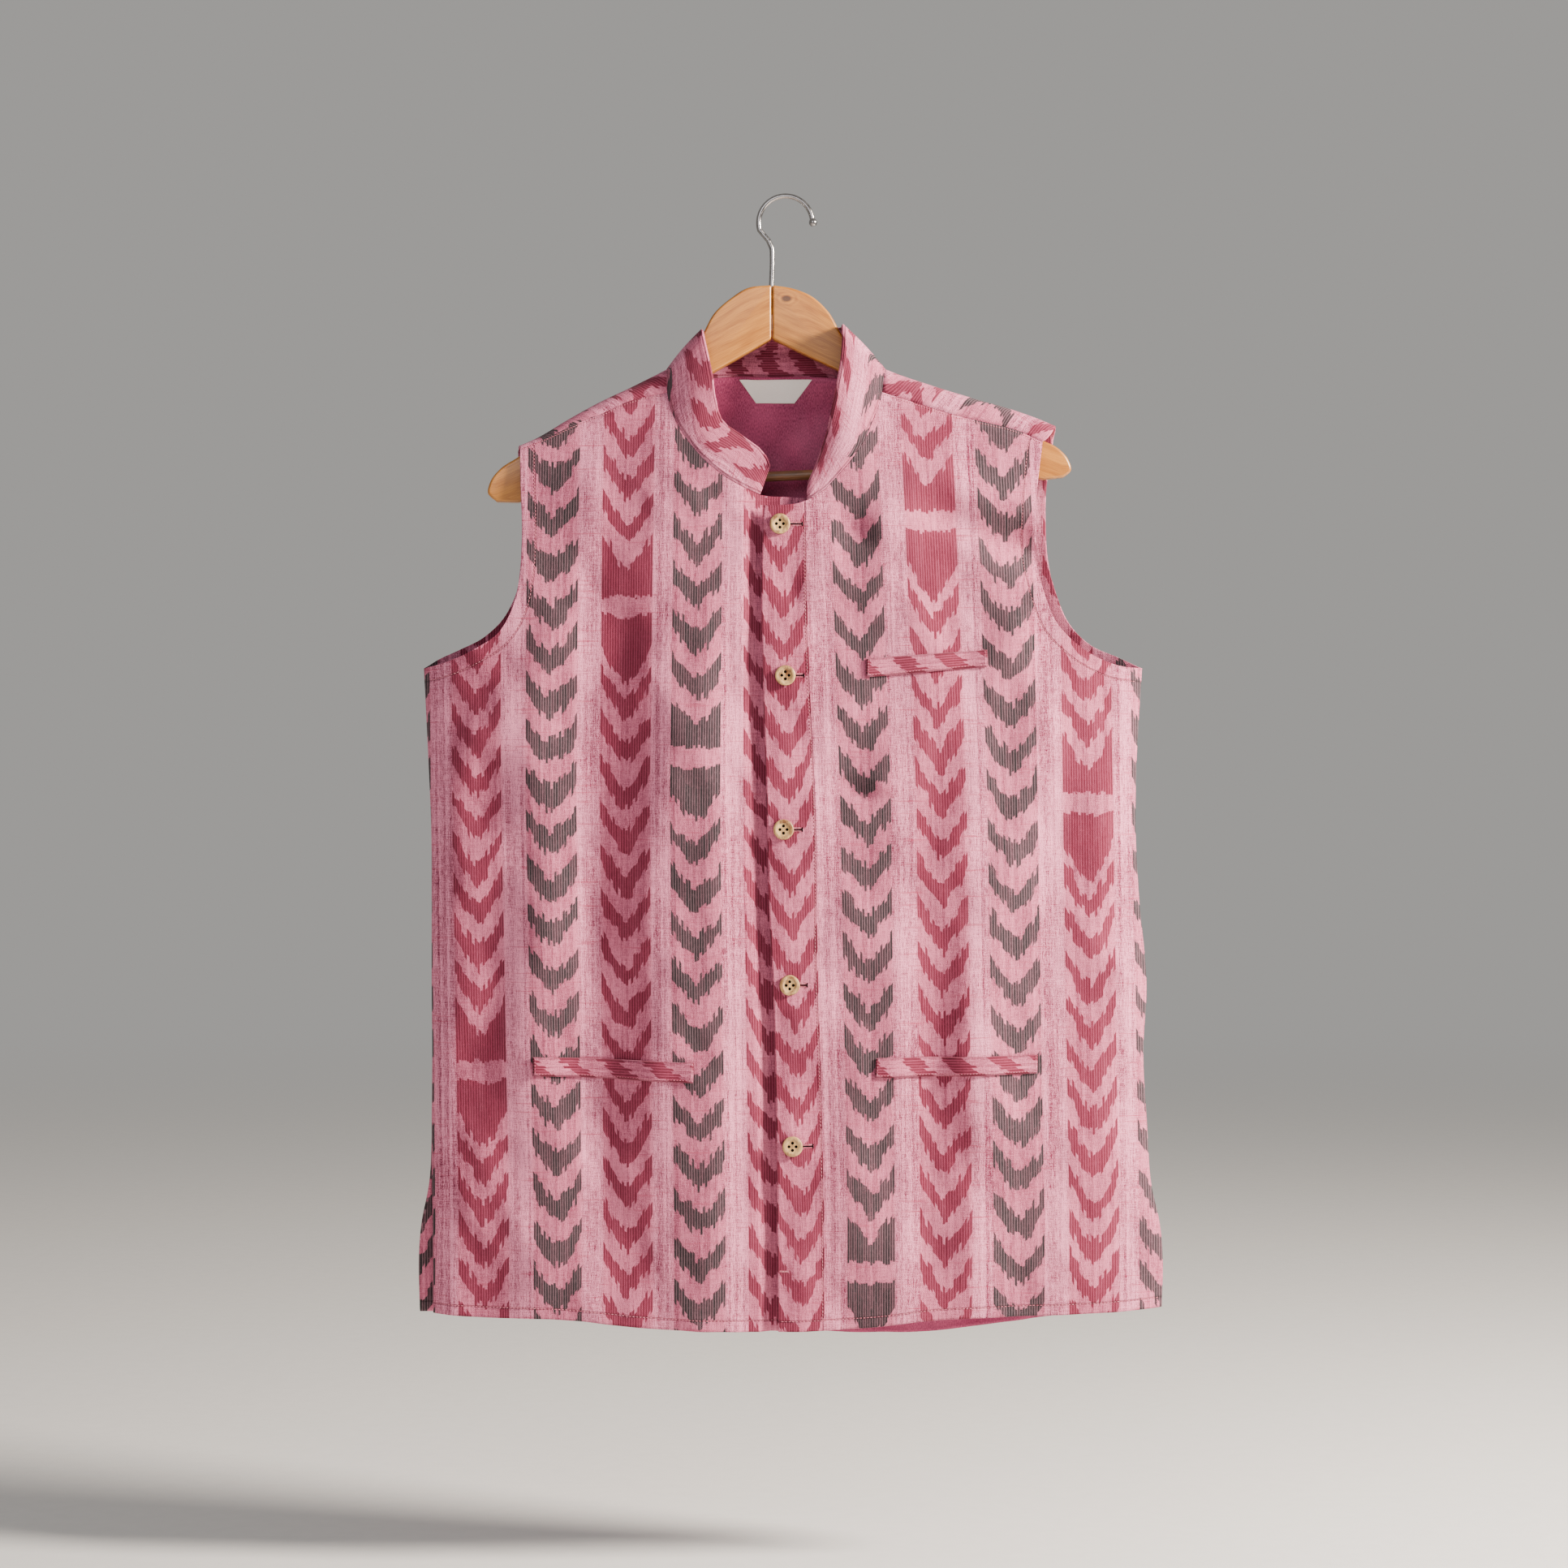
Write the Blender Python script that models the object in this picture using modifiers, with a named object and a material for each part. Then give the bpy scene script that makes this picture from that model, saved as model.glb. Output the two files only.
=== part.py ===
"""A sleeveless jacket with a stand collar, hung on a two-piece wooden hanger.

Sizes here are in millimetres and metres() turns them into metres. +Z is up, the front faces -Y
and +X is the wearer's left. The origin is the inner top of the hook that carries it all.
Each cloth piece is a wall laid on one drape: front and back stand off the hanger's middle plane,
turn over the shoulders on the hanger's arms, and meet again along the side seams.
"""

import math

import bmesh
import bpy
import numpy as np

NAME = "nehru_jacket"
MM = 0.001

# Driving dimensions of the cloth
WALL = 2.0
LINING_WALL = 1.0
LABEL_WALL = 0.8
LABEL_GAP = 0.5
WELT_WALL = 1.6
GAP = 0.3
TURN_RADIUS = 10.5
FOOT_Z = -358.5
NECK_POINT_X = 85.4
NECK_RISE = 0.52
SECTION_POWER = 2.4
SECTION_ROUND = 0.55
EASE = {"front": 110.0, "back": 60.0}
VENT_TOP_Z = -752.0
VENT_SPREAD = 3.0
LAP_TUCK = 5.0
LINING_SIDE = 0.04
LAP_REACH = 30.0
LAP_TUCK_TOP_Z = -190.0
UNDERLAP_TURN_Z = -330.0
UNDERLAP_TURN = 100.0
PLACKET_RAISE = 0.8
PLACKET_TOP_Z = -214.0
SHOULDER_GAP = 0.45
TIP_BULGE = {"right": 1.0, "left": 5.0}
COLLAR_BULGE = 1.2
COLLAR_START_X = {"right": -11.0, "left": 16.0}
WELT_GAP = 0.45

# Driving dimensions of the fastenings and the hanger
BUTTON_RADIUS = 7.7
BUTTON_THICKNESS = 3.2
BUTTON_GAP = 0.4
BUTTON_HOLE_RADIUS = 1.0
BUTTON_HOLE_SPREAD = 2.7
ARM_THICKNESS = 13.0
ARM_REST = 4.1
ARM_EDGE = 3.6
JOINT_X = -3.7
WIRE_RADIUS = 2.0
HOOK_CENTRE = (6.8, -17.6)
HOOK_RADIUS = 20.6
BAR_RADIUS = 3.9
BAR_LEFT = (-188.0, -219.4)
BAR_RIGHT = (190.0, -203.4)

# The shoulder line that the cloth takes over the arms: x, z
RIDGE = [
    (-198.0, -188.6),
    (-184.0, -182.6),
    (-160.0, -168.4),
    (-135.0, -154.6),
    (-110.0, -142.8),
    (-NECK_POINT_X, -130.4),
    (-45.0, -130.4 + NECK_RISE * 40.4),
    (0.0, -130.4 + NECK_RISE * 80.0),
    (45.0, -130.4 + NECK_RISE * 40.4),
    (NECK_POINT_X, -130.6),
    (114.0, -140.6),
    (150.0, -151.8),
    (176.0, -159.2),
    (200.0, -167.6),
    (213.0, -173.0),
]

# How deep the drape is at its middle: z, front, back
DEPTHS = [
    (-880.0, 31.0, 25.0),
    (-640.0, 34.0, 26.0),
    (-480.0, 36.0, 26.0),
    (-358.0, 36.0, 26.0),
    (-250.0, 35.0, 25.0),
    (-130.0, 32.0, 23.0),
]

# The side seams and the vents below them: z, then x at the right front, right back, left front, left back
SIDES = [
    (-870.0, -262.5, -273.0, 294.0, 287.0),
    (-783.0, -263.0, -272.0, 293.0, 286.5),
    (-752.0, -263.8, -266.0, 286.5, 285.0),
    (-716.0, -264.0, -264.0, 283.8, 283.8),
    (-650.0, -263.6, -263.6, 280.6, 280.6),
    (-603.0, -264.0, -264.0, 283.0, 283.0),
    (-530.0, -264.0, -264.0, 277.0, 277.0),
    (-480.0, -264.4, -264.4, 274.6, 274.6),
    (-430.0, -266.5, -266.5, 275.4, 275.4),
    (FOOT_Z, -270.0, -270.0, 279.6, 279.6),
]

# The hem of each panel: x, z
HEM_FRONT = [
    (-263.0, -851.0),
    (-228.0, -852.4),
    (-166.0, -853.2),
    (-104.0, -858.4),
    (-30.0, -861.0),
    (20.0, -861.0),
    (67.0, -858.6),
    (114.0, -853.4),
    (176.0, -850.8),
    (238.0, -849.4),
    (294.0, -846.4),
]
HEM_BACK = [
    (-273.0, -850.4),
    (-166.0, -857.0),
    (-60.0, -866.0),
    (52.0, -869.0),
    (100.0, -869.4),
    (138.0, -866.4),
    (200.0, -857.4),
    (287.0, -848.0),
]

# The armhole edges from the foot up to the shoulder: x, z
ARMHOLES = {
    ("front", "right"): [
        (-270.0, FOOT_Z),
        (-258.0, -356.0),
        (-230.0, -344.7),
        (-211.0, -332.0),
        (-200.5, -314.0),
        (-195.4, -292.6),
        (-193.4, -260.0),
        (-194.8, -220.0),
        (-195.6, -191.0),
    ],
    ("front", "left"): [
        (279.6, FOOT_Z),
        (264.4, -357.6),
        (244.0, -350.8),
        (225.0, -338.0),
        (212.0, -323.9),
        (203.6, -304.2),
        (198.4, -283.0),
        (196.4, -250.7),
        (198.0, -222.0),
        (202.6, -186.4),
    ],
    ("back", "right"): [
        (-270.0, FOOT_Z),
        (-259.7, -351.8),
        (-244.5, -344.4),
        (-225.4, -334.4),
        (-211.8, -321.8),
        (-202.0, -304.0),
        (-196.0, -280.9),
        (-194.6, -243.3),
        (-197.4, -212.0),
        (-198.0, -199.1),
    ],
    ("back", "left"): [
        (279.6, FOOT_Z),
        (262.0, -350.0),
        (240.0, -339.4),
        (223.5, -322.0),
        (214.8, -300.7),
        (209.3, -279.1),
        (206.5, -244.7),
        (207.4, -219.1),
        (210.0, -198.0),
        (212.0, -183.2),
    ],
}

# The forward shoulder seams from the neck out: x, z
SHOULDER_SEAMS = {
    "right": [
        (-83.6, -149.0),
        (-110.0, -154.6),
        (-135.4, -165.7),
        (-153.0, -172.6),
        (-174.4, -182.6),
        (-195.6, -191.0),
    ],
    "left": [
        (80.6, -148.6),
        (107.0, -157.0),
        (132.0, -165.1),
        (155.4, -170.8),
        (185.0, -178.4),
        (202.6, -186.4),
    ],
}

# The back's neck seam from below one neck point to the other: x, z
NECK_SEAM = [
    (-85.2, -140.9),
    (-77.0, -140.0),
    (-62.0, -136.6),
    (-44.0, -134.2),
    (0.0, -133.4),
    (44.0, -134.2),
    (62.0, -136.6),
    (77.0, -140.0),
    (85.2, -141.1),
]

# The necklines of the fronts, from the lap up to the shoulder seam: x, z
NECKLINES = {
    "right": [
        (22.0, -230.4),
        (6.0, -229.4),
        (-11.6, -228.1),
        (-25.7, -222.3),
        (-39.9, -214.0),
        (-55.4, -201.0),
        (-65.8, -188.8),
        (-73.6, -177.0),
        (-79.8, -164.4),
        (-83.6, -149.0),
    ],
    "left": [
        (-9.2, -236.4),
        (4.0, -236.2),
        (16.6, -234.8),
        (32.6, -227.2),
        (48.0, -211.8),
        (64.1, -190.8),
        (73.5, -169.6),
        (78.4, -157.0),
        (80.6, -148.6),
    ],
}

# The edge of the lap, which the buttons run beside: z, x
LAP_EDGE = [
    (-862.0, 1.4),
    (-726.0, 0.4),
    (-600.0, -2.4),
    (-528.0, -6.0),
    (-456.0, -7.2),
    (-376.0, -9.8),
    (-293.0, -11.0),
    (-236.4, -9.2),
]

# The stitched back edge of the button strip: z, x
STRIP_EDGE = [
    (-870.0, 36.4),
    (-780.0, 36.0),
    (-680.0, 34.2),
    (-580.0, 30.8),
    (-490.0, 30.4),
    (-324.0, 23.4),
    (-240.0, 22.6),
]

# The buttons' middles: x, z
BUTTONS = [
    (2.5, -250.5),
    (6.6, -365.0),
    (5.2, -481.4),
    (9.9, -599.0),
    (12.0, -720.9),
]

# The pocket welts, corner by corner from the upper inner one: x, z
WELTS = {
    "chest_welt": ("left", [(68.2, -352.6), (159.3, -345.7), (159.3, -358.0), (67.6, -366.1)]),
    "hip_welt_left": ("left", [(75.5, -654.5), (197.7, -652.7), (197.0, -666.3), (74.3, -669.0)]),
    "hip_welt_right": ("right", [(-184.5, -654.2), (-62.5, -657.6), (-63.1, -672.3), (-184.5, -668.0)]),
}

# The label, sewn under the back neck seam: x, z
LABEL = [(-29.4, -135.2), (27.6, -135.0), (13.4, -153.4), (-16.4, -153.8)]

# Soft troughs and ridges in the cloth: panel, x and z of each end, depth (a ridge is negative), width
FOLDS = [
    ("front", 52.0, -236.0, 96.0, -290.0, 2.4, 11.0),
    ("front", 60.0, -226.0, 118.0, -300.0, -2.0, 12.0),
    ("front", 150.0, -208.0, 208.0, -304.0, 4.0, 17.0),
    ("front", 118.0, -214.0, 196.0, -372.0, -2.0, 24.0),
    ("front", -62.0, -232.0, -30.0, -420.0, 2.2, 16.0),
    ("front", -150.0, -206.0, -190.0, -330.0, 3.0, 18.0),
    ("front", 27.0, -431.0, 96.0, -470.0, 1.6, 11.0),
    ("front", 250.0, -560.0, 284.0, -622.0, -2.4, 14.0),
    ("front", -30.0, -620.0, -26.0, -864.0, 2.6, 15.0),
    ("front", -150.0, -700.0, -158.0, -864.0, -3.0, 26.0),
    ("front", -84.0, -712.0, -92.0, -864.0, 2.6, 24.0),
    ("front", 96.0, -716.0, 104.0, -862.0, -3.2, 24.0),
    ("front", 168.0, -700.0, 176.0, -862.0, 3.0, 24.0),
    ("front", 236.0, -690.0, 250.0, -850.0, -2.2, 18.0),
    ("back", -60.0, -170.0, -150.0, -290.0, 3.2, 20.0),
    ("back", 66.0, -172.0, 160.0, -296.0, 3.4, 22.0),
    ("back", -196.0, -320.0, -150.0, -520.0, -2.6, 24.0),
    ("back", 200.0, -322.0, 156.0, -500.0, -2.8, 22.0),
    ("back", -90.0, -660.0, -96.0, -868.0, 3.6, 28.0),
    ("back", 20.0, -690.0, 28.0, -870.0, -3.0, 26.0),
    ("back", 120.0, -650.0, 132.0, -868.0, 3.4, 26.0),
]

# The collar: where its seam passes, and its upper edge there: x, y, z of each
COLLAR = [
    (-11.6, -35.0, -228.1, -5.0, -18.0, -206.0),
    (-25.7, -34.0, -222.3, -13.6, -12.5, -191.7),
    (-39.9, -32.0, -214.0, -27.2, -10.0, -181.5),
    (-55.4, -27.0, -201.0, -39.0, -9.0, -173.0),
    (-65.8, -23.0, -188.8, -44.2, -9.5, -164.0),
    (-73.6, -18.0, -177.0, -47.0, -10.5, -151.5),
    (-79.8, -14.0, -164.4, -49.0, -11.5, -137.1),
    (-83.6, -11.0, -149.0, -53.2, -13.0, -117.9),
    (-85.6, -8.0, -134.8, -56.8, -11.5, -103.0),
    (-NECK_POINT_X, 0.0, -130.4, -57.8, 0.0, -99.2),
    (-85.3, 9.0, -134.5, -57.2, 10.5, -99.4),
    (-84.8, 10.5, -140.9, -56.0, 15.0, -99.2),
    (-68.0, 12.5, -138.0, -48.0, 18.5, -98.4),
    (-40.0, 16.0, -134.0, -29.0, 22.0, -97.6),
    (0.0, 20.0, -133.4, 0.0, 24.0, -97.0),
    (40.0, 16.0, -134.0, 26.0, 22.0, -96.6),
    (68.0, 12.5, -138.0, 42.0, 18.5, -96.2),
    (84.8, 10.5, -141.1, 49.6, 15.0, -95.8),
    (85.3, 9.0, -134.6, 51.0, 10.5, -95.6),
    (NECK_POINT_X, 0.0, -130.6, 51.2, 0.0, -95.6),
    (86.0, -8.0, -135.0, 50.6, -11.5, -99.0),
    (80.6, -11.0, -148.6, 50.2, -13.0, -112.0),
    (77.4, -14.0, -160.0, 48.9, -11.5, -126.5),
    (70.0, -18.0, -177.0, 45.2, -10.5, -146.3),
    (62.0, -23.0, -194.0, 41.0, -9.5, -166.7),
    (50.0, -27.0, -209.0, 36.0, -9.0, -185.3),
    (37.0, -32.0, -224.0, 29.8, -11.0, -203.9),
    (26.5, -34.0, -231.0, 23.4, -16.0, -218.7),
    (16.6, -35.0, -234.8, 17.6, -27.0, -229.4),
]

# The wooden arms: the crown's outline from the joint out, and the free end past the armhole
ARMS = {
    "right": {
        "crown": [(JOINT_X, -65.8), (-23.0, -68.3), (-35.0, -75.8), (-48.0, -87.6), (-57.0, -103.8), (-85.0, -136.0)],
        "rest": (-92.0, -172.0),
        "tip": [
            (-186.0, -189.6),
            (-198.5, -197.8),
            (-211.0, -206.0),
            (-219.0, -216.4),
            (-220.6, -225.0),
            (-214.0, -231.4),
        ],
        "under": [(-198.0, -231.8), (-184.0, -229.4), (-50.0, -133.5)],
    },
    "left": {
        "crown": [(JOINT_X, -65.8), (14.3, -69.0), (27.0, -74.6), (39.0, -85.7), (50.4, -104.6), (85.0, -136.4)],
        "rest": (92.0, 178.0),
        "tip": [
            (190.0, -172.0),
            (202.0, -183.6),
            (214.0, -189.8),
            (222.6, -199.0),
            (224.8, -207.6),
            (219.0, -212.6),
        ],
        "under": [(204.0, -214.4), (186.0, -212.4), (46.6, -130.8)],
    },
}
NOTCH = (JOINT_X, -107.0)
CROWN_POINTS = 14
REST_POINTS = 7
TIP_POINTS = 12

# The hook's wire below its bend, from inside the crown up: x, z
HOOK_STEM = [(-4.4, -88.0), (-4.0, -66.0), (-3.4, -43.0), (-3.6, -38.0), (-6.4, -31.0)]
HOOK_BEND = (196.0, 8.0)
HOOK_STEPS = 18

# The hook's rounded end, from the end of its bend on: x and z from there, and thickness
HOOK_TIP = [(0.0, 0.0, 1.0), (0.3, -1.2, 1.45), (0.7, -3.2, 1.6), (1.1, -5.2, 1.0)]

# Share of the way across or up a panel at each grid line
ACROSS_FRONT = [0, 0.015, 0.05, 0.11, 0.13, 0.21, 0.31, 0.42, 0.53, 0.64, 0.74, 0.83, 0.9, 0.95, 0.98]
ACROSS_FRONT += [0.995, 1]
FRONT_ROWS = (14, 6, [0, 0.14, 0.28, 0.42, 0.56, 0.7, 0.85, 1])
BACK_ROWS = (13, 5, [0, 0.25, 0.5, 0.72, 0.88, 0.965, 1])
FLAP_ROWS = [0.11, 0.22, 0.33, 0.44, 0.56, 0.7, 0.85, 1]
BACK_SIDE_LINES = [0, 0.004, 0.015, 0.04, 0.08]
SHOULDER_LINES = (0.13, 6)
NECK_LINES = 14
COLLAR_ROWS = [0, 0.3, 0.65, 1]
FOOT_AT = 0.6
CORNER_AT = 0.8
NECK_SHARE = 0.3
NEAR = 1e-9

COLOURS = {
    "cloth": ((0.50, 0.19, 0.24), 0.85, 0.0),
    "lining": ((0.24, 0.06, 0.10), 0.75, 0.0),
    "label": ((0.80, 0.78, 0.75), 0.8, 0.0),
    "shell": ((0.60, 0.46, 0.30), 0.45, 0.0),
    "wood": ((0.55, 0.31, 0.13), 0.4, 0.0),
    "chrome": ((0.62, 0.62, 0.62), 0.15, 1.0),
}


def smooth(at, knots, values):
    """A curve through the values at the knots, each knot's slope taken from its neighbours."""
    at, knots, values = np.asarray(at, float), np.asarray(knots, float), np.asarray(values, float)
    slopes = np.gradient(values, knots, axis=0)
    i = np.clip(np.searchsorted(knots, at) - 1, 0, len(knots) - 2)
    span = knots[i + 1] - knots[i]
    t = np.clip((at - knots[i]) / span, 0, 1)
    if values.ndim > 1:
        t, span = t[..., None], span[..., None]
    start, end = (1 + 2 * t) * (1 - t) ** 2, t * t * (3 - 2 * t)
    leave, arrive = t * (1 - t) ** 2 * span, t * t * (t - 1) * span
    return start * values[i] + end * values[i + 1] + leave * slopes[i] + arrive * slopes[i + 1]


def column(table, key, value, at):
    """A table's value column read at places along its key column."""
    rows = np.array(sorted(table, key=lambda row: row[key]), float)
    return smooth(at, rows[:, key], rows[:, value])


def run(points, share):
    """Points at shares of the length of a smooth line through the given ones."""
    points = np.array(points, float)
    steps = np.linalg.norm(np.diff(points, axis=0), axis=1)
    along = np.concatenate([[0], np.cumsum(steps)])
    return smooth(np.asarray(share) * along[-1], along, points)


def ease(t):
    t = np.clip(t, 0, 1)
    return t * t * (3 - 2 * t)


def ridge(x):
    return column(RIDGE, 0, 1, x)


def side_x(panel, side, z):
    """The x of a panel's side edge at a height, from the armhole's foot down to the hem."""
    value = 1 + (panel == "back") + 2 * (side == "left")
    return column(SIDES, 0, value, np.minimum(z, FOOT_Z))


def unrolled(drop):
    """The length of cloth from the shoulder line down to a point that lies drop below it."""
    turn = np.arccos(1 - np.clip(drop / TURN_RADIUS, 0, 1)) * TURN_RADIUS
    return np.where(drop < TURN_RADIUS, turn, TURN_RADIUS * (math.pi / 2 - 1) + drop)


def rolled(length):
    """The drop below the shoulder line for a length of cloth, the reverse of unrolled()."""
    quarter = TURN_RADIUS * math.pi / 2
    arc = TURN_RADIUS * (1 - np.cos(np.clip(length / TURN_RADIUS, 0, math.pi / 2)))
    return np.where(length < quarter, arc, TURN_RADIUS + length - quarter)


def fold_depth(panel, x, z):
    """How far the soft creases push a panel inward."""
    total = np.zeros(np.broadcast(x, z).shape)
    for where, x0, z0, x1, z1, depth, width in FOLDS:
        if where != panel:
            continue
        run_x, run_z = x1 - x0, z1 - z0
        length = math.hypot(run_x, run_z)
        along = ((x - x0) * run_x + (z - z0) * run_z) / length
        aside = ((x - x0) * run_z - (z - z0) * run_x) / length
        fade = ease(along / (0.35 * length)) * ease((length * 1.1 - along) / (0.35 * length))
        total = total + depth * fade * np.exp(-((aside / width) ** 2))
    return total


def stand_off(panel, x, z, drop):
    """The distance of a panel's outer face from the hanger's middle plane."""
    level = column(DEPTHS, 0, 1 + (panel == "back"), z)
    half = np.where(x < 0, -side_x(panel, "right", z), side_x(panel, "left", z))
    share = np.clip(np.abs(x) / half, 0, 1)
    section = (1 - share**SECTION_POWER) ** SECTION_ROUND
    turn = np.sqrt(1 - (1 - np.clip(drop / TURN_RADIUS, 0, 1)) ** 2) * TURN_RADIUS
    fade = ease((1 - share) / 0.08) * ease(drop / 50)
    full = level * section - fold_depth(panel, x, z) * fade
    depth = turn + (full - TURN_RADIUS) * ease(drop / EASE[panel])
    open_by = GAP / 2 + VENT_SPREAD * ease((VENT_TOP_Z - z) / 70)
    return np.hypot(np.maximum(depth, 0), open_by)


def place(panel, side, x, w):
    """The outer point of a panel, where w is the height with the shoulder's turn laid flat."""
    top = ridge(x)
    length = top - w
    drop = rolled(np.abs(length))
    z = top - drop
    depth = stand_off("front" if panel == "front" else "back", x, z, drop)
    if panel == "front":
        if side == "right":
            depth = depth - LAP_TUCK * ease((x - lap_x(z) + 18) / 15) * ease((LAP_TUCK_TOP_Z - z) / 30)
        else:
            strip = 1 - ease((x - column(STRIP_EDGE, 0, 1, z) + 2) / 4)
            depth = depth + PLACKET_RAISE * strip * ease((PLACKET_TOP_Z - z) / 20)
        return np.stack([x, -depth, z], -1)
    over = ease(np.clip(-length / 20, 0, 1))
    front = stand_off("front", x, z, drop)
    y = np.where(length >= 0, depth, -(depth + (front - depth) * over))
    return np.stack([x, y, z], -1)


def lap_x(z):
    return column(LAP_EDGE, 0, 1, z)


def wall_points(panel, side, x, w, inward):
    """Points of a panel at a distance in from its outer face."""
    step = 0.02
    hand = np.where(x < 0, -1.0, 1.0)
    along = (place(panel, side, x, w) - place(panel, side, x - hand * step, w)) * hand[..., None]
    up = place(panel, side, x, w + step) - place(panel, side, x, w - step)
    normal = np.cross(along, up)
    normal /= np.linalg.norm(normal, axis=-1, keepdims=True)
    if panel == "back":
        normal = -normal
    outer = place(panel, side, x, w)
    inner = outer - normal * inward
    if panel == "front":
        inner[..., 1] = np.minimum(inner[..., 1], -GAP / 2)
    else:
        low = np.abs(inner[..., 0]) > 0.6 * np.abs(SIDES[-1][1])
        flat = low & (w < ridge(x) - 40)
        inner[..., 1] = np.where(flat, np.maximum(inner[..., 1], GAP / 2), inner[..., 1])
    return inner


def spread(bottom, top, left, right, across, up):
    """A four-sided patch of points between its edges; bottom and top run along across."""
    u, v = across[None, :, None], up[:, None, None]
    flat = (1 - v) * bottom[None] + v * top[None] + (1 - u) * left[:, None] + u * right[:, None]
    corners = (1 - v) * ((1 - u) * bottom[0] + u * bottom[-1]) + v * ((1 - u) * top[0] + u * top[-1])
    return flat - corners


def to_w(points):
    """Heights with the shoulder's turn laid flat, for points given by x and z on the outer face."""
    points = np.array(points, float)
    top = ridge(points[:, 0])
    points[:, 1] = top - unrolled(top - points[:, 1])
    return points


def rows_up(low, middle, high):
    """Grid lines up a panel: hem to armhole foot, foot to neck corner, then the lines above it."""
    return np.concatenate([
        np.linspace(0, FOOT_AT, low, endpoint=False),
        np.linspace(FOOT_AT, CORNER_AT, middle, endpoint=False),
        CORNER_AT + (1 - CORNER_AT) * np.array(high),
    ])


def side_edge(panel, side, hem, up):
    """A panel's side seam and armhole as x and z, at shares of the way up."""
    armhole = ARMHOLES[panel, side]
    lower = np.clip(up / FOOT_AT, 0, 1)
    z = side_hem_z(panel, side, hem) * (1 - lower) + FOOT_Z * lower
    seam = np.stack([side_x(panel, side, z), z], -1)
    upper = run(armhole, np.clip((up - FOOT_AT) / (1 - FOOT_AT), 0, 1))
    return np.where((up < FOOT_AT)[:, None], seam, upper)


def side_hem_z(panel, side, hem):
    return hem[0][1] if side == "right" else hem[-1][1]


def front_grid(side):
    """The x and w of one front's grid, from its centre edge out to its side."""
    across, up = np.array(ACROSS_FRONT), rows_up(*FRONT_ROWS)
    outer_edge = side_edge("front", side, HEM_FRONT, up)
    lower = np.clip(up / CORNER_AT, 0, 1)
    neck = run(NECKLINES[side], np.clip((up - CORNER_AT) / (1 - CORNER_AT), 0, 1))
    corner_x, corner_z = NECKLINES[side][0]
    levels = [column(HEM_FRONT, 0, 1, 0.0), FOOT_Z, corner_z]
    z = np.interp(lower, [0, FOOT_AT / CORNER_AT, 1], levels)
    edge_x = lap_x(z)
    if side == "right":
        miss = corner_x - lap_x(corner_z) - LAP_REACH
        edge_x = edge_x + LAP_REACH + miss * ease((z - UNDERLAP_TURN_Z) / UNDERLAP_TURN)
    centre = np.stack([edge_x, z], -1)
    inner_edge = np.where((up < CORNER_AT)[:, None], centre, neck)
    bottom_x = inner_edge[0, 0] + (outer_edge[0, 0] - inner_edge[0, 0]) * across
    bottom = np.stack([bottom_x, column(HEM_FRONT, 0, 1, bottom_x)], -1)
    top = run(SHOULDER_SEAMS[side], across)
    edges = [to_w(edge) for edge in (bottom, top, inner_edge, outer_edge)]
    return spread(*edges, across, up)


def back_across():
    """Grid lines across the back: right shoulder, neck, left shoulder."""
    start, lines = SHOULDER_LINES
    lead = np.concatenate([BACK_SIDE_LINES, np.linspace(start, NECK_SHARE, lines)])
    middle = np.linspace(NECK_SHARE, 1 - NECK_SHARE, NECK_LINES)[1:-1]
    return np.concatenate([lead, middle, 1 - lead[::-1]])


def in_neck(across):
    return (across > NECK_SHARE + NEAR) & (across < 1 - NECK_SHARE - NEAR)


def back_grid(across, up):
    """The x and w of the back's grid from hem to shoulder line and neck seam."""
    edges = [side_edge("back", side, HEM_BACK, up) for side in ("right", "left")]
    bottom_x = edges[0][0, 0] + (edges[1][0, 0] - edges[0][0, 0]) * across
    bottom = np.stack([bottom_x, column(HEM_BACK, 0, 1, bottom_x)], -1)
    tips = (ARMHOLES["back", "right"][-1][0], ARMHOLES["back", "left"][-1][0])
    stops = [0, NECK_SHARE, 1 - NECK_SHARE, 1]
    x = np.interp(across, stops, [tips[0], -NECK_POINT_X, NECK_POINT_X, tips[1]])
    z = np.where(in_neck(across), column(NECK_SEAM, 0, 1, x), ridge(x) - TURN_RADIUS)
    top = np.stack([x, z], -1)
    return spread(*[to_w(edge) for edge in (bottom, top, *edges)], across, up)


def flap_grid(side, across, ridge_row):
    """The strip of the back that comes over one shoulder to the forward seam."""
    from_tip = across if side == "right" else 1 - across
    keep = from_tip <= NECK_SHARE + NEAR
    share = from_tip[keep] / NECK_SHARE
    seam = to_w(run(SHOULDER_SEAMS[side], 1 - share))
    top = ridge(seam[:, 0])
    seam[:, 1] = 2 * top - seam[:, 1] - SHOULDER_GAP
    start = ridge_row[keep]
    steps = np.array(FLAP_ROWS)[:, None, None]
    bulge = TIP_BULGE[side] * np.stack([(1 - share) ** 4 * np.sign(seam[:, 0]), 0 * share], -1)
    strip = start[None] + (seam - start)[None] * steps + bulge[None] * 4 * steps * (1 - steps)
    return strip, np.flatnonzero(keep)


def grid_faces(rows, columns):
    index = np.arange(rows * columns).reshape(rows, columns)
    quads = np.stack([index[:-1, :-1], index[:-1, 1:], index[1:, 1:], index[1:, :-1]], -1)
    return quads.reshape(-1, 4)


def metres(points):
    return np.asarray(points, float) * MM


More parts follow.
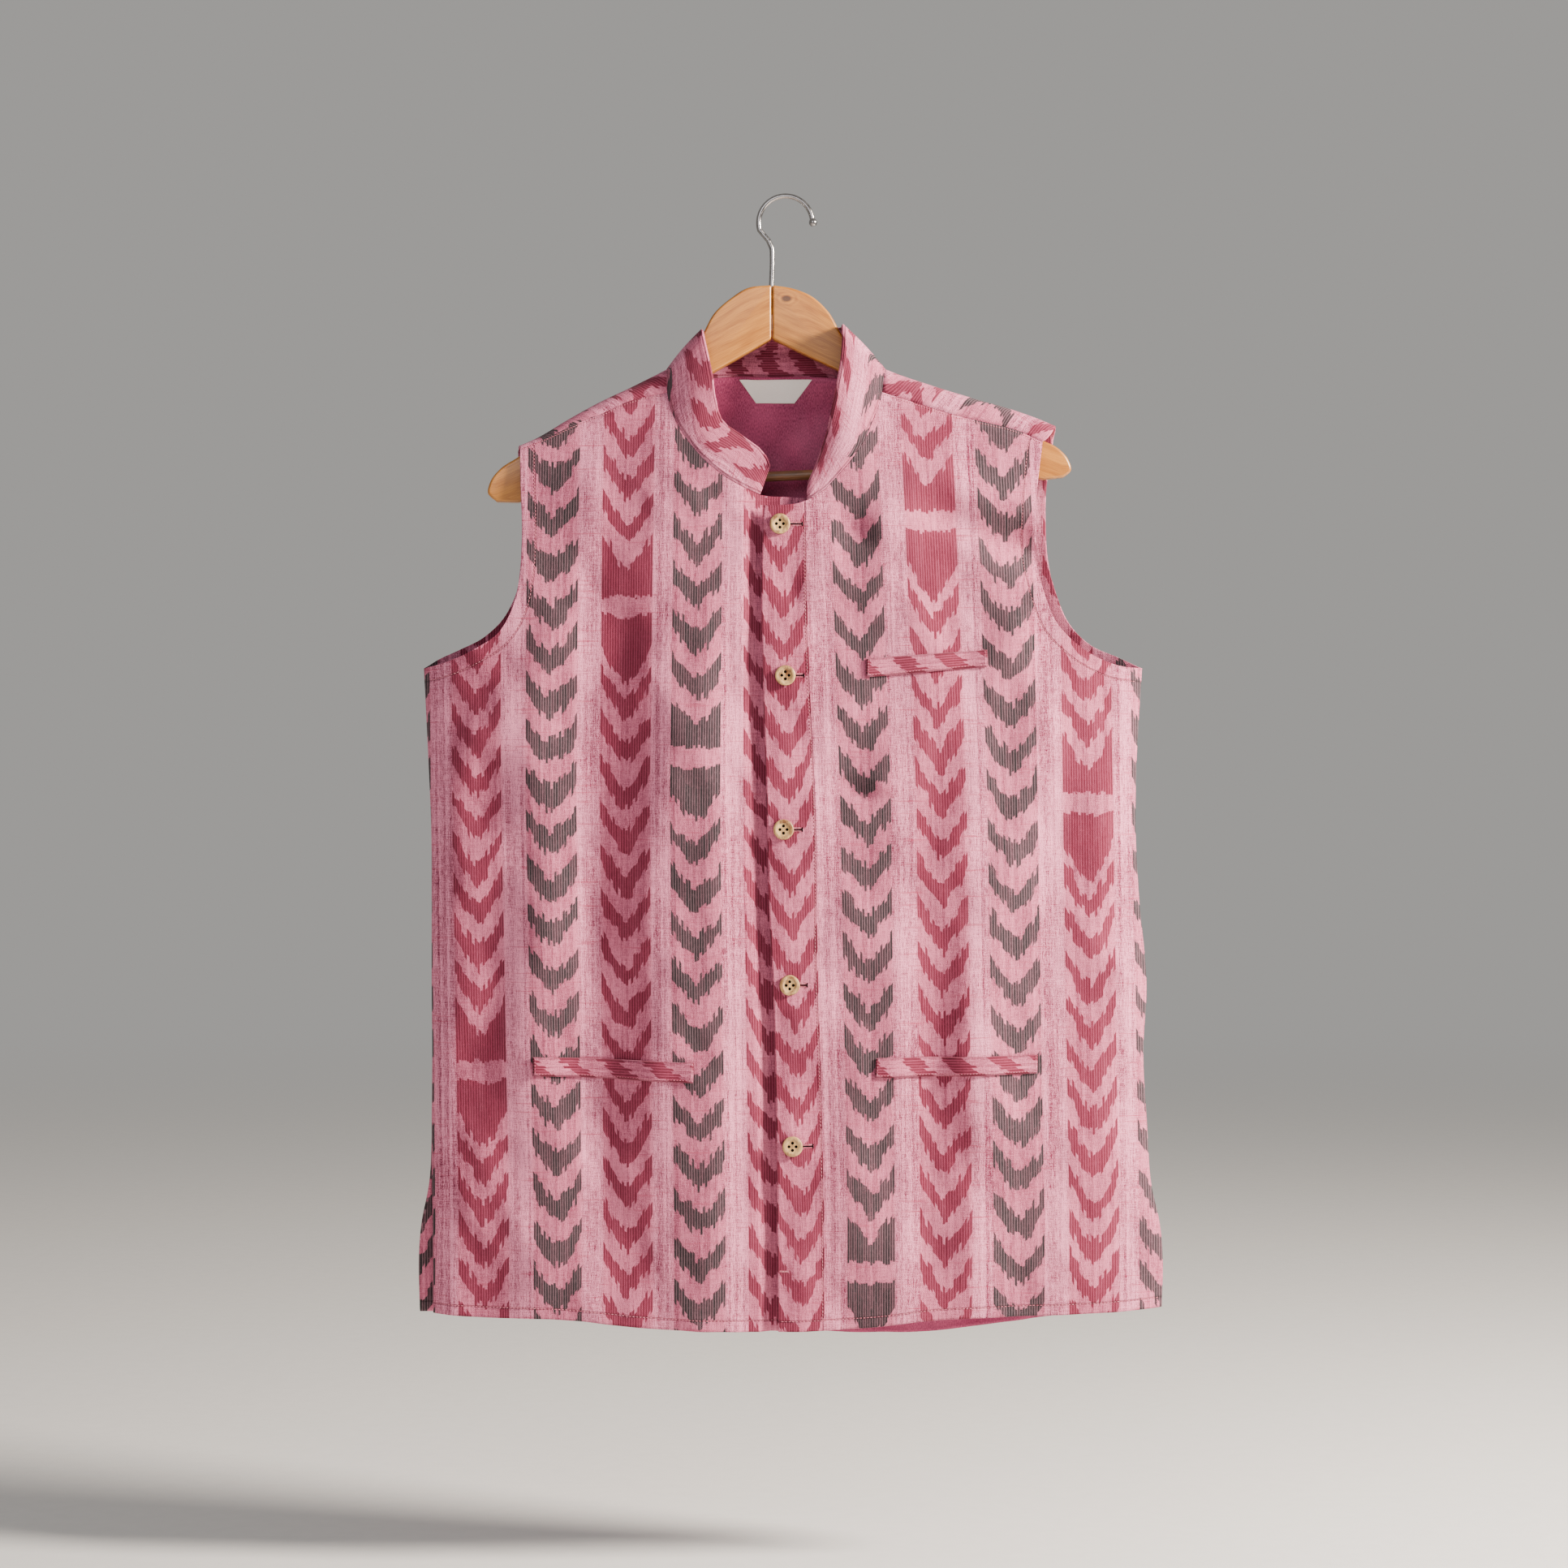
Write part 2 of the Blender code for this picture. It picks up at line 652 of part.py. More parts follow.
def new_object(name, mesh, colour):
    """Puts a mesh into the jacket's collection with its material."""
    thing = bpy.data.objects.new(name, mesh)
    bpy.data.collections[NAME].objects.link(thing)
    rgb, roughness, metallic = COLOURS[colour]
    material = bpy.data.materials.new(name + "_material")
    material.use_nodes = True
    shader = material.node_tree.nodes["Principled BSDF"]
    shader.inputs["Base Color"].default_value = (*rgb, 1)
    shader.inputs["Roughness"].default_value = roughness
    shader.inputs["Metallic"].default_value = metallic
    mesh.materials.clear()
    mesh.materials.append(material)
    mesh.shade_smooth()
    mesh.set_sharp_from_angle(angle=math.radians(40))
    return thing


def wall(name, colour, outer, inner, quads):
    """A closed wall between two matching open surfaces, joined by a rim along their border."""
    outer, inner = np.reshape(outer, (-1, 3)), np.reshape(inner, (-1, 3))
    count = len(outer)
    seen = {}
    for quad in quads:
        for a, b in zip(quad, np.roll(quad, -1)):
            seen[int(a), int(b)] = True
    rim = [(b, a, a + count, b + count) for a, b in seen if (b, a) not in seen]
    halves = np.concatenate([quads[:, [0, 1, 2]], quads[:, [0, 2, 3]]])
    faces = [tuple(int(i) for i in half) for half in halves]
    faces += [tuple(int(i) + count for i in reversed(half)) for half in halves]
    faces += rim
    mesh = bpy.data.meshes.new(name)
    mesh.from_pydata(metres(np.concatenate([outer, inner])).tolist(), [], faces)
    edit = bmesh.new()
    edit.from_mesh(mesh)
    bmesh.ops.delete(edit, geom=[v for v in edit.verts if not v.link_faces], context="VERTS")
    bmesh.ops.recalc_face_normals(edit, faces=edit.faces)
    if edit.calc_volume(signed=True) < 0:
        bmesh.ops.reverse_faces(edit, faces=edit.faces)
    edit.to_mesh(mesh)
    edit.free()
    return new_object(name, mesh, colour)


def cloth_wall(name, colour, panel, side, grid, start=0.0, thickness=WALL):
    """A wall on the drape: its outer face start in from the panel's, its inner face thickness on."""
    x, w = grid[..., 0], grid[..., 1]
    outer = wall_points(panel, side, x, w, start) if start else place(panel, side, x, w)
    inner = wall_points(panel, side, x, w, start + thickness)
    wall(name, colour, outer, inner, grid_faces(*x.shape))
    return outer, inner


def build_back():
    """The back, whose shoulders come over the arms; returns its neck edge, outer and inner."""
    across, up = back_across(), rows_up(*BACK_ROWS)
    main = back_grid(across, up)
    rows, columns = main.shape[:2]
    parts, quads = [main.reshape(-1, 2)], [grid_faces(rows, columns)]
    count, flaps = rows * columns, {}
    for side in ("right", "left"):
        flap, keep = flap_grid(side, across, main[-1])
        index = np.arange(flap.shape[0] * flap.shape[1]).reshape(flap.shape[:2]) + count
        index = np.vstack([(rows - 1) * columns + keep, index])
        cells = np.stack([index[:-1, :-1], index[:-1, 1:], index[1:, 1:], index[1:, :-1]], -1)
        quads.append(cells.reshape(-1, 4))
        parts.append(flap.reshape(-1, 2))
        count += flap.shape[0] * flap.shape[1]
        flaps[side] = index
    grid = np.concatenate(parts)
    x, w = grid[:, 0], grid[:, 1]
    outer = place("back", None, x, w)
    inner = wall_points("back", None, x, w, WALL)
    wall("back", "cloth", outer, inner, np.concatenate(quads))
    build_lining(main, across)
    neck = (rows - 1) * columns + np.flatnonzero(in_neck(across))
    order = np.concatenate([flaps["right"][::-1, -1], neck, flaps["left"][:, 0]])
    return outer[order], inner[order]


def build_lining(main, across):
    """The back's lining, which shows through the neck, at the armholes and under the hem.

    It lies on the back's own grid, moved in, and stops short of the sides and of the arms.
    """
    rows, columns = main.shape[:2]
    cells = grid_faces(rows, columns).reshape(rows - 1, columns - 1, 4)
    middle = (across[:-1] > LINING_SIDE - NEAR) & (across[1:] < 1 - LINING_SIDE + NEAR)
    neck = in_neck(across[:-1]) & in_neck(across[1:])
    quads = np.concatenate([cells[:-2, middle].reshape(-1, 4), cells[-2:, neck].reshape(-1, 4)])
    x, w = main[..., 0], main[..., 1]
    outer = wall_points("back", None, x, w, WALL + GAP)
    inner = wall_points("back", None, x, w, WALL + GAP + LINING_WALL)
    wall("back_lining", "lining", outer, inner, quads)


def build_collar(base_outer, base_inner):
    """The stand collar: a band lofted from the neck seam to its leaning upper edge."""
    table = np.array(COLLAR)
    seam, edge = table[:, :3], table[:, 3:]
    along = np.concatenate([[0], np.cumsum(np.linalg.norm(np.diff(base_outer, axis=0), axis=1))])
    nearest = [np.argmin(np.linalg.norm(base_outer - point, axis=1)) for point in seam]
    knots, first = np.unique(along[nearest], return_index=True)
    top = smooth(along, knots, edge[first])
    rise = top - base_outer
    rise /= np.linalg.norm(rise, axis=1, keepdims=True)
    tangent = np.gradient(base_outer + top, axis=0)
    tangent /= np.linalg.norm(tangent, axis=1, keepdims=True)
    inward = np.cross(rise, tangent)
    inward /= np.linalg.norm(inward, axis=1, keepdims=True)
    middle = np.array([0, 0, -150.0])
    inward *= np.sign(np.sum(inward * (middle - top) * [1, 1, 0], axis=1))[:, None]
    lift = 1.5 * GAP * rise
    shares = np.array(COLLAR_ROWS)[:, None, None]
    bulge = COLLAR_BULGE * np.sin(math.pi * shares)
    outer = (base_outer + lift)[None] * (1 - shares) + top[None] * shares - bulge * inward[None]
    inner = (base_inner + lift)[None] * (1 - shares) + (top + WALL * inward)[None] * shares
    inner = inner - bulge * inward[None]
    wall("collar", "cloth", outer, inner, grid_faces(len(COLLAR_ROWS), len(top)))


def build_cloth():
    back_outer, back_inner = build_back()
    edges = {}
    up = rows_up(*FRONT_ROWS)
    for side in ("right", "left"):
        outer, inner = cloth_wall("front_" + side, "cloth", "front", side, front_grid(side))
        hand = -1 if side == "right" else 1
        past_start = hand * outer[:, 0, 0] >= hand * COLLAR_START_X[side]
        rows = (up >= CORNER_AT) & past_start
        edges[side] = outer[rows, 0], inner[rows, 0]
    base_outer = np.concatenate([edges["right"][0][:-1], back_outer, edges["left"][0][-2::-1]])
    base_inner = np.concatenate([edges["right"][1][:-1], back_inner, edges["left"][1][-2::-1]])
    build_collar(base_outer, base_inner)


def patch(corners, columns, rows):
    """An even grid of x and z between four corners, given in turn from the upper inner one."""
    a, b, c, d = [np.array(corner, float) for corner in corners]
    u = np.linspace(0, 1, columns)[None, :, None]
    v = np.linspace(0, 1, rows)[:, None, None]
    return (1 - v) * ((1 - u) * d + u * c) + v * ((1 - u) * a + u * b)


def build_welts():
    for name, (side, corners) in WELTS.items():
        grid = patch(corners, 12, 3)
        flat = to_w(grid.reshape(-1, 2)).reshape(grid.shape)
        cloth_wall(name, "cloth", "front", side, flat, -(WELT_GAP + WELT_WALL), WELT_WALL)


def build_label():
    grid = patch(LABEL, 8, 3)
    flat = to_w(grid.reshape(-1, 2)).reshape(grid.shape)
    start = WALL + GAP + LINING_WALL + LABEL_GAP
    cloth_wall("neck_label", "label", "back", None, flat, start, LABEL_WALL)


def link_cutter(cutter):
    bpy.data.collections["cutters"].objects.link(cutter)
    cutter.hide_render = True
    cutter.display_type = "WIRE"
    return cutter


def rod(name, start, end, radius, sides):
    """A closed rod between two points, as a mesh object that isn't linked yet."""
    start, end = metres(start), metres(end)
    mesh = bpy.data.meshes.new(name)
    edit = bmesh.new()
    length = float(np.linalg.norm(end - start))
    bmesh.ops.create_cone(
        edit, cap_ends=True, segments=sides, radius1=radius * MM, radius2=radius * MM, depth=length
    )
    edit.to_mesh(mesh)
    edit.free()
    thing = bpy.data.objects.new(name, mesh)
    from_z = np.array([0, 0, 1.0])
    axis = (end - start) / length
    turn = math.acos(float(np.dot(from_z, axis)))
    around = np.cross(from_z, axis)
    thing.rotation_mode = "AXIS_ANGLE"
    if np.linalg.norm(around) > 1e-9:
        thing.rotation_axis_angle = (turn, *(around / np.linalg.norm(around)))
    thing.location = (start + end) / 2
    return thing


def cut(thing, cutters):
    for cutter in cutters:
        boolean = thing.modifiers.new(cutter.name, "BOOLEAN")
        boolean.operation = "DIFFERENCE"
        boolean.solver = "EXACT"
        boolean.object = cutter


def button_mesh():
    """A turned four-hole button: flat back, rounded rim, dished face, its axis along +Z."""
    half, edge, dish, dip = BUTTON_THICKNESS / 2, 0.8, 5.4, 0.7
    profile = [
        (0, half - dip),
        (dish - 1, half - dip),
        (dish, half),
        (BUTTON_RADIUS - edge, half),
        (BUTTON_RADIUS, half - edge),
        (BUTTON_RADIUS, -half + edge),
        (BUTTON_RADIUS - edge, -half),
        (0, -half),
    ]
    edit = bmesh.new()
    points = [edit.verts.new((r * MM, 0, z * MM)) for r, z in profile]
    for a, b in zip(points, points[1:]):
        edit.edges.new((a, b))
    bmesh.ops.spin(
        edit, geom=edit.verts[:] + edit.edges[:], angle=2 * math.pi, steps=18,
        axis=(0, 0, 1), cent=(0, 0, 0), use_merge=True,
    )
    bmesh.ops.remove_doubles(edit, verts=edit.verts, dist=1e-6)
    bmesh.ops.recalc_face_normals(edit, faces=edit.faces)
    mesh = bpy.data.meshes.new("button")
    edit.to_mesh(mesh)
    edit.free()
    return mesh


def build_buttons():
    for number, (x, z) in enumerate(BUTTONS, 1):
        face = place("front", "left", *to_w([(x, z)]).T)[0]
        thing = new_object(f"button_{number}", button_mesh(), "shell")
        depth = -face[1] + BUTTON_GAP + BUTTON_THICKNESS / 2
        thing.location = metres((x, -depth, z))
        thing.rotation_euler = (math.pi / 2, 0, 0)
        cutters = []
        for turn in range(4):
            angle = math.pi / 2 * turn
            hole_x = x + BUTTON_HOLE_SPREAD * math.cos(angle)
            hole_z = z + BUTTON_HOLE_SPREAD * math.sin(angle)
            ends = [(hole_x, -depth + reach, hole_z) for reach in (-BUTTON_THICKNESS, BUTTON_THICKNESS)]
            cutters.append(link_cutter(rod(f"button_hole_{number}_{turn}", *ends, BUTTON_HOLE_RADIUS, 6)))
        cut(thing, cutters)


def arm_outline(side):
    """One wooden arm seen from the front: crown, the edge that the shoulder rests on, free end."""
    arm = ARMS[side]
    shift = -GAP / 2 if side == "right" else GAP / 2
    start, end = arm["rest"]
    xs = np.linspace(start, end, REST_POINTS)
    rest = [(x, z - ARM_REST) for x, z in zip(xs, ridge(xs))]
    crown = run(arm["crown"], np.linspace(0, 1, CROWN_POINTS)).tolist()
    tip = run(arm["tip"], np.linspace(0, 1, TIP_POINTS)).tolist()
    points = crown + rest + tip + arm["under"] + [NOTCH]
    return [(x + shift if abs(x - JOINT_X) < NEAR else x, z) for x, z in points]


def outline_solid(name, outline, thickness, edge):
    """A flat board of an outline in the XZ plane, with its long edges rounded."""
    curve = bpy.data.curves.new(name, "CURVE")
    curve.dimensions = "2D"
    curve.fill_mode = "BOTH"
    curve.extrude = thickness / 2 * MM
    line = curve.splines.new("POLY")
    line.points.add(len(outline) - 1)
    for point, (x, z) in zip(line.points, outline):
        point.co = (x * MM, z * MM, 0, 1)
    line.use_cyclic_u = True
    shape = bpy.data.objects.new(name + "_outline", curve)
    bpy.data.collections["cutters"].objects.link(shape)
    shape.rotation_euler = (math.pi / 2, 0, 0)
    bpy.context.view_layer.update()
    mesh = bpy.data.meshes.new_from_object(shape.evaluated_get(bpy.context.evaluated_depsgraph_get()))
    mesh.transform(shape.matrix_world)
    bpy.data.objects.remove(shape)
    edit = bmesh.new()
    edit.from_mesh(mesh)
    bmesh.ops.remove_doubles(edit, verts=edit.verts, dist=1e-5)
    bmesh.ops.dissolve_limit(edit, angle_limit=0.01, verts=edit.verts, edges=edit.edges)
    bmesh.ops.recalc_face_normals(edit, faces=edit.faces)
    edit.to_mesh(mesh)
    edit.free()
    thing = new_object(name, mesh, "wood")
    bevel = thing.modifiers.new("rounded edges", "BEVEL")
    bevel.width = edge * MM
    bevel.segments = 2
    bevel.limit_method = "ANGLE"
    bevel.angle_limit = math.radians(60)
    return thing


def build_hanger():
    shank = (HOOK_STEM[0][0], 0, HOOK_STEM[0][1])
    shank_top = (HOOK_STEM[1][0], 0, HOOK_STEM[1][1] + 10)
    below = (shank[0], 0, shank[2] - 2 * GAP)
    for side in ("right", "left"):
        arm = outline_solid("hanger_arm_" + side, arm_outline(side), ARM_THICKNESS, ARM_EDGE)
        well = link_cutter(rod("shank_well_" + side, below, shank_top, WIRE_RADIUS + GAP, 12))
        ends = np.array([(BAR_LEFT[0], 0, BAR_LEFT[1]), (BAR_RIGHT[0], 0, BAR_RIGHT[1])])
        along = (ends[1] - ends[0]) / np.linalg.norm(ends[1] - ends[0])
        reach = ends + np.array([-along, along]) * 2 * GAP
        socket = link_cutter(rod("bar_socket_" + side, *reach, BAR_RADIUS + GAP, 16))
        cut(arm, [well, socket])
    bar = rod("hanger_bar", *ends, BAR_RADIUS, 14)
    mesh = bar.data
    bpy.context.scene.collection.objects.link(bar)
    bpy.context.view_layer.update()
    mesh.transform(bar.matrix_world)
    bpy.data.objects.remove(bar)
    new_object("hanger_bar", mesh, "wood")
    build_hook()


def build_hook():
    """The wire hook: a straight shank, a set-off bend, a round bow and a rounded end."""
    points = [(x, z, 1.0) for x, z in HOOK_STEM]
    for angle in np.radians(np.linspace(*HOOK_BEND, HOOK_STEPS + 1)):
        x = HOOK_CENTRE[0] + HOOK_RADIUS * math.cos(angle)
        z = HOOK_CENTRE[1] + HOOK_RADIUS * math.sin(angle)
        points.append((x, z, 1.0))
    points[-1:] = [(x + right, z + up, thick) for right, up, thick in HOOK_TIP]
    curve = bpy.data.curves.new("hanger_hook", "CURVE")
    curve.dimensions = "3D"
    curve.bevel_depth = WIRE_RADIUS * MM
    curve.bevel_resolution = 2
    curve.use_fill_caps = True
    line = curve.splines.new("POLY")
    line.points.add(len(points) - 1)
    for point, (x, z, thick) in zip(line.points, points):
        point.co = (x * MM, 0, z * MM, 1)
        point.radius = thick
    shape = bpy.data.objects.new("hook_line", curve)
    bpy.data.collections["cutters"].objects.link(shape)
    bpy.context.view_layer.update()
    mesh = bpy.data.meshes.new_from_object(shape.evaluated_get(bpy.context.evaluated_depsgraph_get()))
    bpy.data.objects.remove(shape)
    edit = bmesh.new()
    edit.from_mesh(mesh)
    bmesh.ops.remove_doubles(edit, verts=edit.verts, dist=1e-6)
    bmesh.ops.recalc_face_normals(edit, faces=edit.faces)
    edit.to_mesh(mesh)
    edit.free()
    new_object("hanger_hook", mesh, "chrome")


def clear_scene():
    for thing in list(bpy.data.objects):
        bpy.data.objects.remove(thing)
    for name in (NAME, "cutters"):
        group = bpy.data.collections.new(name)
        bpy.context.scene.collection.children.link(group)


def main():
    clear_scene()
    build_cloth()
    build_welts()
    build_label()
    build_buttons()
    build_hanger()
    bpy.context.view_layer.update()


main()
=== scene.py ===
"""The looks of a sleeveless jacket with a stand collar, hung on a two-piece wooden hanger.

Tables and shape functions are in millimetres, as in the model that the frame was packed from, and
metres() turns them into metres. +Z is up, the front faces -Y and +X is the wearer's left.
Each cloth piece is cut again on a finer grid of the same drape, and carries its own flat cut as
attributes, from which the cloth's material draws warp, weft and dyed chevrons at their real size.
"""

import math
import bmesh
import bpy
import numpy as np
from mathutils import Matrix, Vector


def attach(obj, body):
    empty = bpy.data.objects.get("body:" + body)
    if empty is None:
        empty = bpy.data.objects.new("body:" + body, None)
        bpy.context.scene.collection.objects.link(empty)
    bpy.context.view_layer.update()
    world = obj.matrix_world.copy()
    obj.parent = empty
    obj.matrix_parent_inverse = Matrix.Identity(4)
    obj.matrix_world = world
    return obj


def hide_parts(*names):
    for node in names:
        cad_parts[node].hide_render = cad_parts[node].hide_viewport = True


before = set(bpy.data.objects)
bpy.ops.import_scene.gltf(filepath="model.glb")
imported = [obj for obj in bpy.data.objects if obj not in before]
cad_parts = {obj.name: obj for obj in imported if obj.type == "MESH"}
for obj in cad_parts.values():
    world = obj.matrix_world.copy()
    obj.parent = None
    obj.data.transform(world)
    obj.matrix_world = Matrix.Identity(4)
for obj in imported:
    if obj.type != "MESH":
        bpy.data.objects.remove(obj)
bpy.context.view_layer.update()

MM = 0.001

# Thicknesses of the cloth pieces, and the gaps between them
WALL = 2.0
LINING_WALL = 1.0
LABEL_WALL = 0.8
LABEL_SHARE = 0.6
WELT_WALL = 1.6
GAP = 0.3
LABEL_GAP = 0.5
WELT_GAP = 0.45
SHOULDER_GAP = 0.45

# The shoulder: how the cloth turns over the arms, the armholes' foot, and the neck points
TURN_RADIUS = 10.5
FOOT_Z = -358.5
NECK_POINT_X = 85.4
NECK_RISE = 0.52
TIP_BULGE = {"right": 1.0, "left": 5.0}
OVER_RAMP = 20.0

# The drape's section, and how far below the shoulder it reaches its depth
SECTION_POWER = 2.4
SECTION_ROUND = 0.55
EASE = {"front": 110.0, "back": 60.0}
SIDE_FADE = 0.08
TOP_FADE = 50.0
SIDE_SHARE = 0.6
SHOULDER_CLEAR = 40.0

# The side vents
VENT_TOP_Z = -752.0
VENT_SPREAD = 3.0
VENT_RAMP = 70.0
VENT_FACING = 26.0

# The lap: how far the right front reaches under it and tucks back, and the raised button strip
LAP_REACH = 30.0
LAP_TUCK = 8.0
LAP_TUCK_FROM = 16.0
LAP_TUCK_RAMP = 12.0
LAP_TUCK_TOP_Z = -190.0
LAP_TUCK_FADE = 30.0
UNDERLAP_TURN_Z = -330.0
UNDERLAP_TURN = 100.0
PLACKET_RAISE = 0.8
PLACKET_RAMP = 4.0
PLACKET_TOP_Z = -214.0
PLACKET_FADE = 20.0

# The lining: how far in from the sides and how far up it goes, the height from which it ripples
# and how much, and its creases below the label, x and lean of each
LINING_SIDE = 0.04
LINING_TOP = 0.975
RIPPLE_FROM = 420
RIPPLE_RAMP = 160
RIPPLE = 0.32
CREASES = [(-22.0, 0.5), (4.0, -0.7), (21.0, 0.35), (33.0, -0.25)]
CREASES_MEET = 170
CREASE_WIDTH = 1.6
CREASE_TOP_Z = -158
CREASE_FADE = 12

# The collar: where it starts on each front, its own bulge, how many gaps it stands off its seam, how
# far its upper edge leans out in front, and the point that it stands round
COLLAR_START_X = {"right": -11.0, "left": 16.0}
COLLAR_BULGE = 1.2
COLLAR_LIFT = 1.5
COLLAR_LEAN = 15.0
COLLAR_LEAN_RAMP = 10
COLLAR_MIDDLE = (0, 0, -150.0)

# Buttons, the wooden arms with their round bar, and the hook
BUTTON_RADIUS = 7.7
BUTTON_THICKNESS = 3.2
BUTTON_GAP = 0.4
BUTTON_HOLE_RADIUS = 1.15
BUTTON_HOLE_SPREAD = 2.7
SHANK_RADIUS = 3.9
SHANK_REACH = (-0.45, 1.95)
ARM_THICKNESS = 13.0
ARM_REST = 4.1
ARM_EDGE = 3.6
JOINT_X = -3.7
WIRE_RADIUS = 2.0
HOOK_CENTRE = (6.8, -17.6)
HOOK_RADIUS = 20.6
BAR_RADIUS = 3.9
BAR_LEFT = (-188.0, -219.4)
BAR_RIGHT = (190.0, -203.4)

# The knot in the left arm's crown, in metres as the wood's material reads it
KNOT = (0.0075, 0.0, -0.0764)

# The shoulder line that the cloth takes over the arms: x, z
RIDGE = [
    (-198.0, -188.6),
    (-184.0, -182.6),
    (-160.0, -168.4),
    (-135.0, -154.6),
    (-110.0, -142.8),
    (-NECK_POINT_X, -130.4),
    (-45.0, -130.4 + NECK_RISE * 40.4),
    (0.0, -130.4 + NECK_RISE * 80.0),
    (45.0, -130.4 + NECK_RISE * 40.4),
    (NECK_POINT_X, -130.6),
    (114.0, -140.6),
    (150.0, -151.8),
    (176.0, -159.2),
    (200.0, -167.6),
    (213.0, -173.0),
]

# How deep the drape is at its middle: z, front, back
DEPTHS = [
    (-880.0, 31.0, 25.0),
    (-640.0, 34.0, 26.0),
    (-480.0, 36.0, 26.0),
    (-358.0, 36.0, 26.0),
    (-250.0, 35.0, 25.0),
    (-130.0, 32.0, 23.0),
]

# The side seams and the vents below them: z, then x at the right front and back, left front and back
SIDES = [
    (-870.0, -262.5, -273.0, 294.0, 287.0),
    (-783.0, -263.0, -272.0, 293.0, 286.5),
    (-752.0, -263.8, -266.0, 286.5, 285.0),
    (-716.0, -264.0, -264.0, 283.8, 283.8),
    (-650.0, -263.6, -263.6, 280.6, 280.6),
    (-603.0, -264.0, -264.0, 283.0, 283.0),
    (-530.0, -264.0, -264.0, 277.0, 277.0),
    (-480.0, -264.4, -264.4, 274.6, 274.6),
    (-430.0, -266.5, -266.5, 275.4, 275.4),
    (FOOT_Z, -270.0, -270.0, 279.6, 279.6),
]

# The hem of each panel: x, z
HEM_FRONT = [
    (-263.0, -851.0),
    (-228.0, -852.4),
    (-166.0, -853.2),
    (-104.0, -858.4),
    (-30.0, -861.0),
    (20.0, -861.0),
    (67.0, -858.6),
    (114.0, -853.4),
    (176.0, -850.8),
    (238.0, -849.4),
    (294.0, -846.4),
]
HEM_BACK = [
    (-273.0, -850.4),
    (-166.0, -857.0),
    (-60.0, -866.0),
    (52.0, -869.0),
    (100.0, -869.4),
    (138.0, -866.4),
    (200.0, -857.4),
    (287.0, -848.0),
]

# The armhole edges from the foot up to the shoulder: x, z
ARMHOLES = {
    ("front", "right"): [
        (-270.0, FOOT_Z),
        (-258.0, -356.0),
        (-230.0, -344.7),
        (-211.0, -332.0),
        (-200.5, -314.0),
        (-195.4, -292.6),
        (-193.4, -260.0),
        (-194.8, -220.0),
        (-195.6, -191.0),
    ],
    ("front", "left"): [
        (279.6, FOOT_Z),
        (264.4, -357.6),
        (244.0, -350.8),
        (225.0, -338.0),
        (212.0, -323.9),
        (203.6, -304.2),
        (198.4, -283.0),
        (196.4, -250.7),
        (198.0, -222.0),
        (202.6, -186.4),
    ],
    ("back", "right"): [
        (-270.0, FOOT_Z),
        (-259.7, -351.8),
        (-244.5, -344.4),
        (-225.4, -334.4),
        (-211.8, -321.8),
        (-202.0, -304.0),
        (-196.0, -280.9),
        (-194.6, -243.3),
        (-197.4, -212.0),
        (-198.0, -199.1),
    ],
    ("back", "left"): [
        (279.6, FOOT_Z),
        (262.0, -350.0),
        (240.0, -339.4),
        (223.5, -322.0),
        (214.8, -300.7),
        (209.3, -279.1),
        (206.5, -244.7),
        (207.4, -219.1),
        (210.0, -198.0),
        (212.0, -183.2),
    ],
}

# The forward shoulder seams from the neck out: x, z
SHOULDER_SEAMS = {
    "right": [
        (-83.6, -149.0),
        (-110.0, -154.6),
        (-135.4, -165.7),
        (-153.0, -172.6),
        (-174.4, -182.6),
        (-195.6, -191.0),
    ],
    "left": [
        (80.6, -148.6),
        (107.0, -157.0),
        (132.0, -165.1),
        (155.4, -170.8),
        (185.0, -178.4),
        (202.6, -186.4),
    ],
}

# The back's neck seam from below one neck point to the other: x, z
NECK_SEAM = [
    (-85.2, -140.9),
    (-77.0, -140.0),
    (-62.0, -136.6),
    (-44.0, -134.2),
    (0.0, -133.4),
    (44.0, -134.2),
    (62.0, -136.6),
    (77.0, -140.0),
    (85.2, -141.1),
]

# The necklines of the fronts, from the lap up to the shoulder seam: x, z
NECKLINES = {
    "right": [
        (22.0, -230.4),
        (6.0, -229.4),
        (-11.6, -228.1),
        (-25.7, -222.3),
        (-39.9, -214.0),
        (-55.4, -201.0),
        (-65.8, -188.8),
        (-73.6, -177.0),
        (-79.8, -164.4),
        (-83.6, -149.0),
    ],
    "left": [
        (-9.2, -236.4),
        (4.0, -236.2),
        (16.6, -234.8),
        (32.6, -227.2),
        (48.0, -211.8),
        (64.1, -190.8),
        (73.5, -169.6),
        (78.4, -157.0),
        (80.6, -148.6),
    ],
}

# The edge of the lap, which the buttons run beside: z, x
LAP_EDGE = [
    (-862.0, 1.4),
    (-726.0, 0.4),
    (-600.0, -2.4),
    (-528.0, -6.0),
    (-456.0, -7.2),
    (-376.0, -9.8),
    (-293.0, -11.0),
    (-236.4, -9.2),
]

# The stitched back edge of the button strip: z, x
STRIP_EDGE = [
    (-870.0, 36.4),
    (-780.0, 36.0),
    (-680.0, 34.2),
    (-580.0, 30.8),
    (-490.0, 30.4),
    (-324.0, 23.4),
    (-240.0, 22.6),
]

# The buttons' middles: x, z
BUTTONS = [
    (2.5, -250.5),
    (6.6, -365.0),
    (5.2, -481.4),
    (9.9, -599.0),
    (12.0, -720.9),
]

